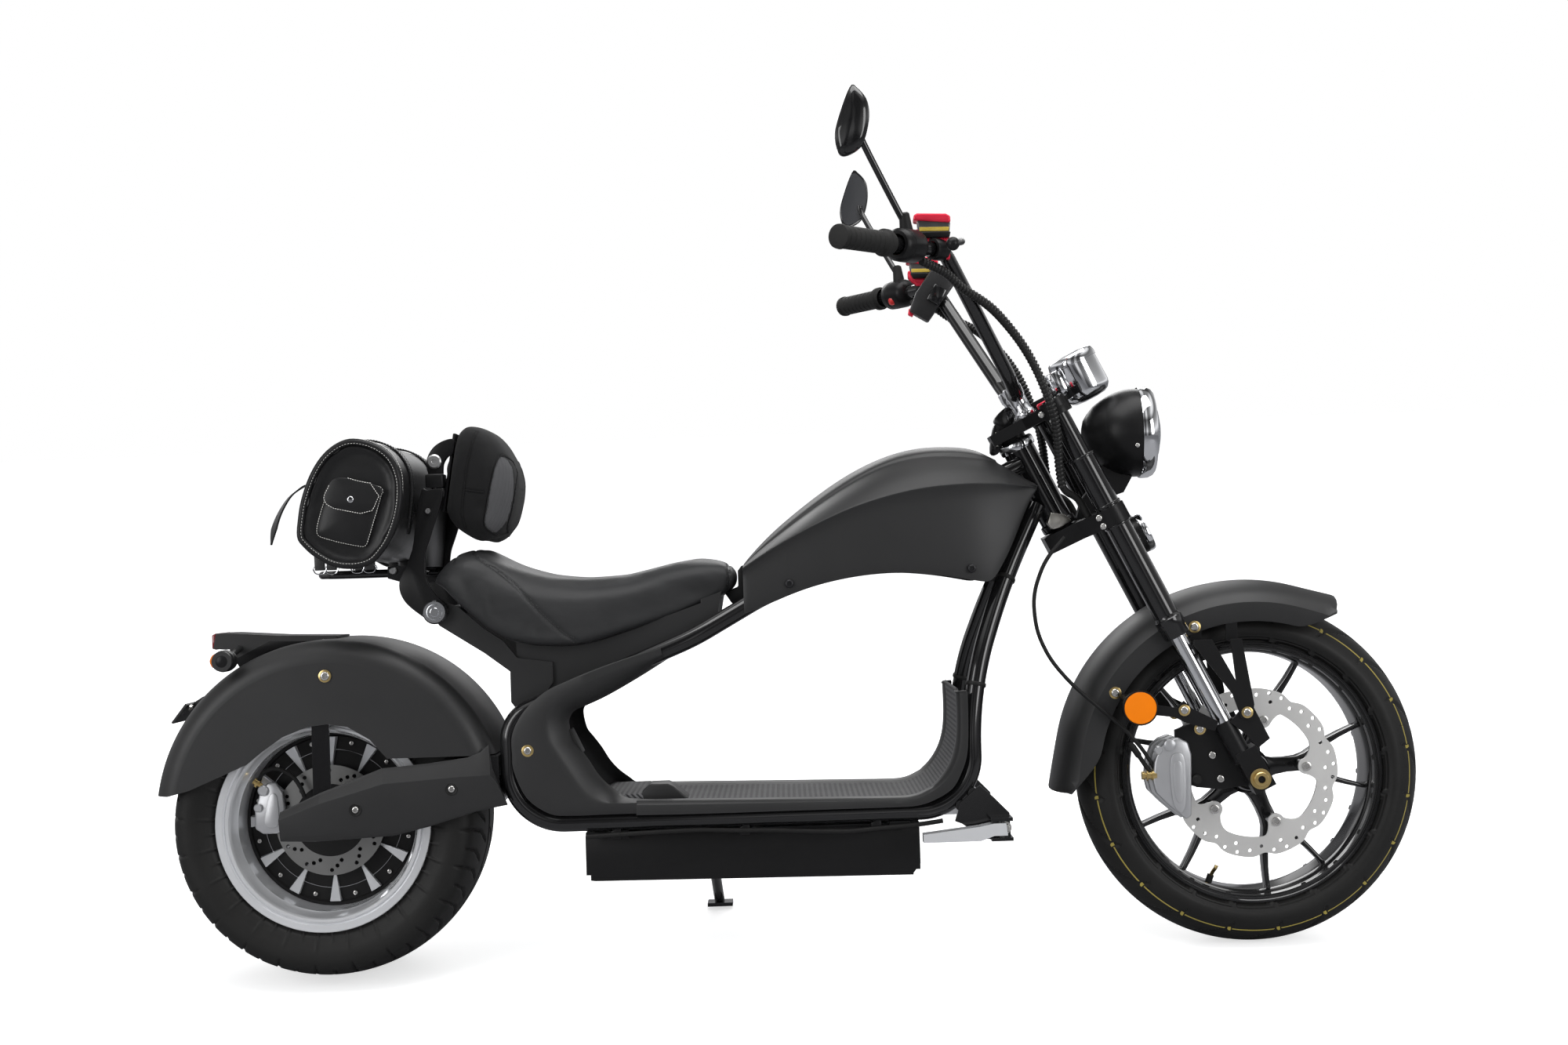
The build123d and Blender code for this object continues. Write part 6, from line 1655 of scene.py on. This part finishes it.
for side, word in SIDES:
    out_end, in_end = at_head(-266, side * 400, 277), at_head(-194, side * 305.8, 278.5)
    grip = spun(f"grip_{word}", out_end, in_end, grip_rows, grip_rubber, "steering", steps=48)
    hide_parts("grips")
    inner = at_head(-150, side * 248, 280)
    housing = spun(f"housing_{word}", at_head(-184, side * 292, 279), inner,
                   [(0, 15), (0, 20), (4, 23.5), (14, 24), (15, 23), (16, 24), (40, 24), (48, 21), (53, 14),
                    (54, 11)], satin_black, "steering", steps=40)
    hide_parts("bar_controls")
    spun(f"lever_perch_{word}", at_head(-132, side * 230, 280), at_head(-106, side * 205, 280),
         [(0, 11), (0, 15), (2, 16), (22, 16), (24, 15), (24, 11)], satin_black, "steering")
    lever = rounded_line([at_head(-106, side * 214, 289), at_head(-90, side * 236, 288),
                          at_head(-98, side * 290, 279), at_head(-107, side * 330, 271)], 6)
    settle(bead(f"brake_lever_{word}", lever, 5.4, sides=5), "steering", satin_black)
    spun(f"lever_ball_{word}", lever[-1] - Vector((-3, side * 12, -2)), lever[-1],
         [(0, 5), (4, 5.4), (8, 8), (13, 9.6), (18, 8), (21, 4), (21.6, 0)], satin_black, "steering")
    for name, line, near, far, material, bevel in brake_parts:
        settle(plate(f"{name}_{word}", head_line(line), *sorted((side * near, side * far)), bevel=bevel),
               "steering", material, smooth=45)
    stem = [at_head(-167, side * 264, 286), at_head(-170, side * 267, 313), at_head(-180, side * 273, 330)]
    spun(f"mirror_boot_{word}", stem[0], stem[1], [(0, 10), (14, 10), (26, 8.6), (40, 7.4), (42, 5)],
         rubber, "steering")
    stem = rounded_line([stem[1], stem[2], at_head(-226, side * 305, 421), at_head(-231, side * 308, 440)],
                        4)
    settle(bead(f"mirror_stem_{word}", stem, 5.0, sides=4), "steering", gloss_black)
    shape = [(-243, 499), (-262, 452), (-266, 428), (-260, 405), (-246, 404), (-227, 418), (-217, 450),
             (-218, 478), (-230, 496)]
    middle = at_head(-240, 0, 452)
    outline = rounded_line([at_head(x, 0, z) for x, z in shape], 5, True)
    rings = []
    for share, y in ((0.0, 323), (0.72, 321.6), (0.93, 318), (1.0, 313), (1.0, 309), (0.965, 307),
                     (0.93, 307.8), (0.0, 308)):
        rings.append([middle + (point - middle) * max(share, 0.02) + Vector((0, side * y, 0)) for point
                      in outline])
    mirror = loft(f"mirror_{word}", rings)
    settle(mirror, "steering", gloss_black, smooth=50)
    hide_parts("mirrors")
glass = finish("mirror_glass", (0.030, 0.031, 0.034), 0.04, specular=0.8, grain=(20, 0.001), cloud=0.02,
               dust=0.0)
for side, word in SIDES:
    rings = [[middle + (point - middle) * share + Vector((0, side * y, 0)) for point in outline]
             for share, y in ((0.02, 307.0), (0.9, 307.2), (0.9, 308.4), (0.02, 308.4))]
    settle(loft(f"mirror_glass_{word}", rings), "steering", glass, smooth=30)
weave = finish("meter_box_weave", (0.012, 0.012, 0.013), 0.32, grain=(300, 0.12), specular=0.3)
settle(plate("meter_box", head_line([(-112, 313), (-73, 289), (-125, 219), (-156, 238), (-144, 268)]), 168,
             196, bevel=3.0), "steering", weave)
settle(plate("meter_window", head_line([(-112, 282), (-92, 270), (-108, 244), (-127, 256)]), 161, 170,
             bevel=3.0), "steering", gloss_black)
settle(plate("meter_button", head_line([(-156, 244), (-147, 240), (-150, 229), (-158, 233)]), 178, 190,
             bevel=2.0), "steering", red_anodised)
red_button = finish("red_button", (0.55, 0.02, 0.02), 0.3, grain=(400, 0.01))
spun("horn_button", at_head(-178, 262, 268), at_head(-190, 258, 264), [(0, 7), (6, 7), (9, 5), (10, 0)],
     red_button, "steering", steps=24)
spun("switch_rocker", at_head(-172, 262, 286), at_head(-186, 257, 290), [(0, 8), (6, 8), (8, 6), (8, 0)],
     zinc, "steering", steps=24)
bpy.ops.mesh.primitive_torus_add(major_segments=18, minor_segments=6, major_radius=5.0, minor_radius=2.3)
turn_of_wrap = bpy.context.object
wrap_line = [at_head(*point) for point in ((-148.5, -246.3, 261), (-113, -213, 247), (-87, -192, 226),
                                           (-43, -162, 198), (-5, -139, 155), (19, -128, 115),
                                           (35, -127, 75), (45, -126, 42), (51, -116, 3), (53, -104, -33),
                                           (58, -96, -73))]
pace = [place for place, along in evenly(rounded_line(wrap_line, 6), 6.2)]
places = []
for side in (-1, 1):
    for here, there in zip(pace, pace[1:]):
        along = Vector((there - here)).normalized()
        tilt = (along + Vector((0.25, 0.2, 0))).normalized()
        middle = Vector((here.x, -here.y, here.z)) if side > 0 else here
        tilt = Vector((tilt.x, -tilt.y, tilt.z)) if side > 0 else tilt
        places.append(Matrix.Translation(middle) @ tilt.to_track_quat('Z', 'Y').to_matrix().to_4x4())
loom_plastic = finish("loom_wrap", (0.010, 0.010, 0.010), 0.34, grain=(500, 0.03), specular=0.35)
settle(copies("loom_wrap", turn_of_wrap, places), "steering", loom_plastic, smooth=60)

low, high = cad_box
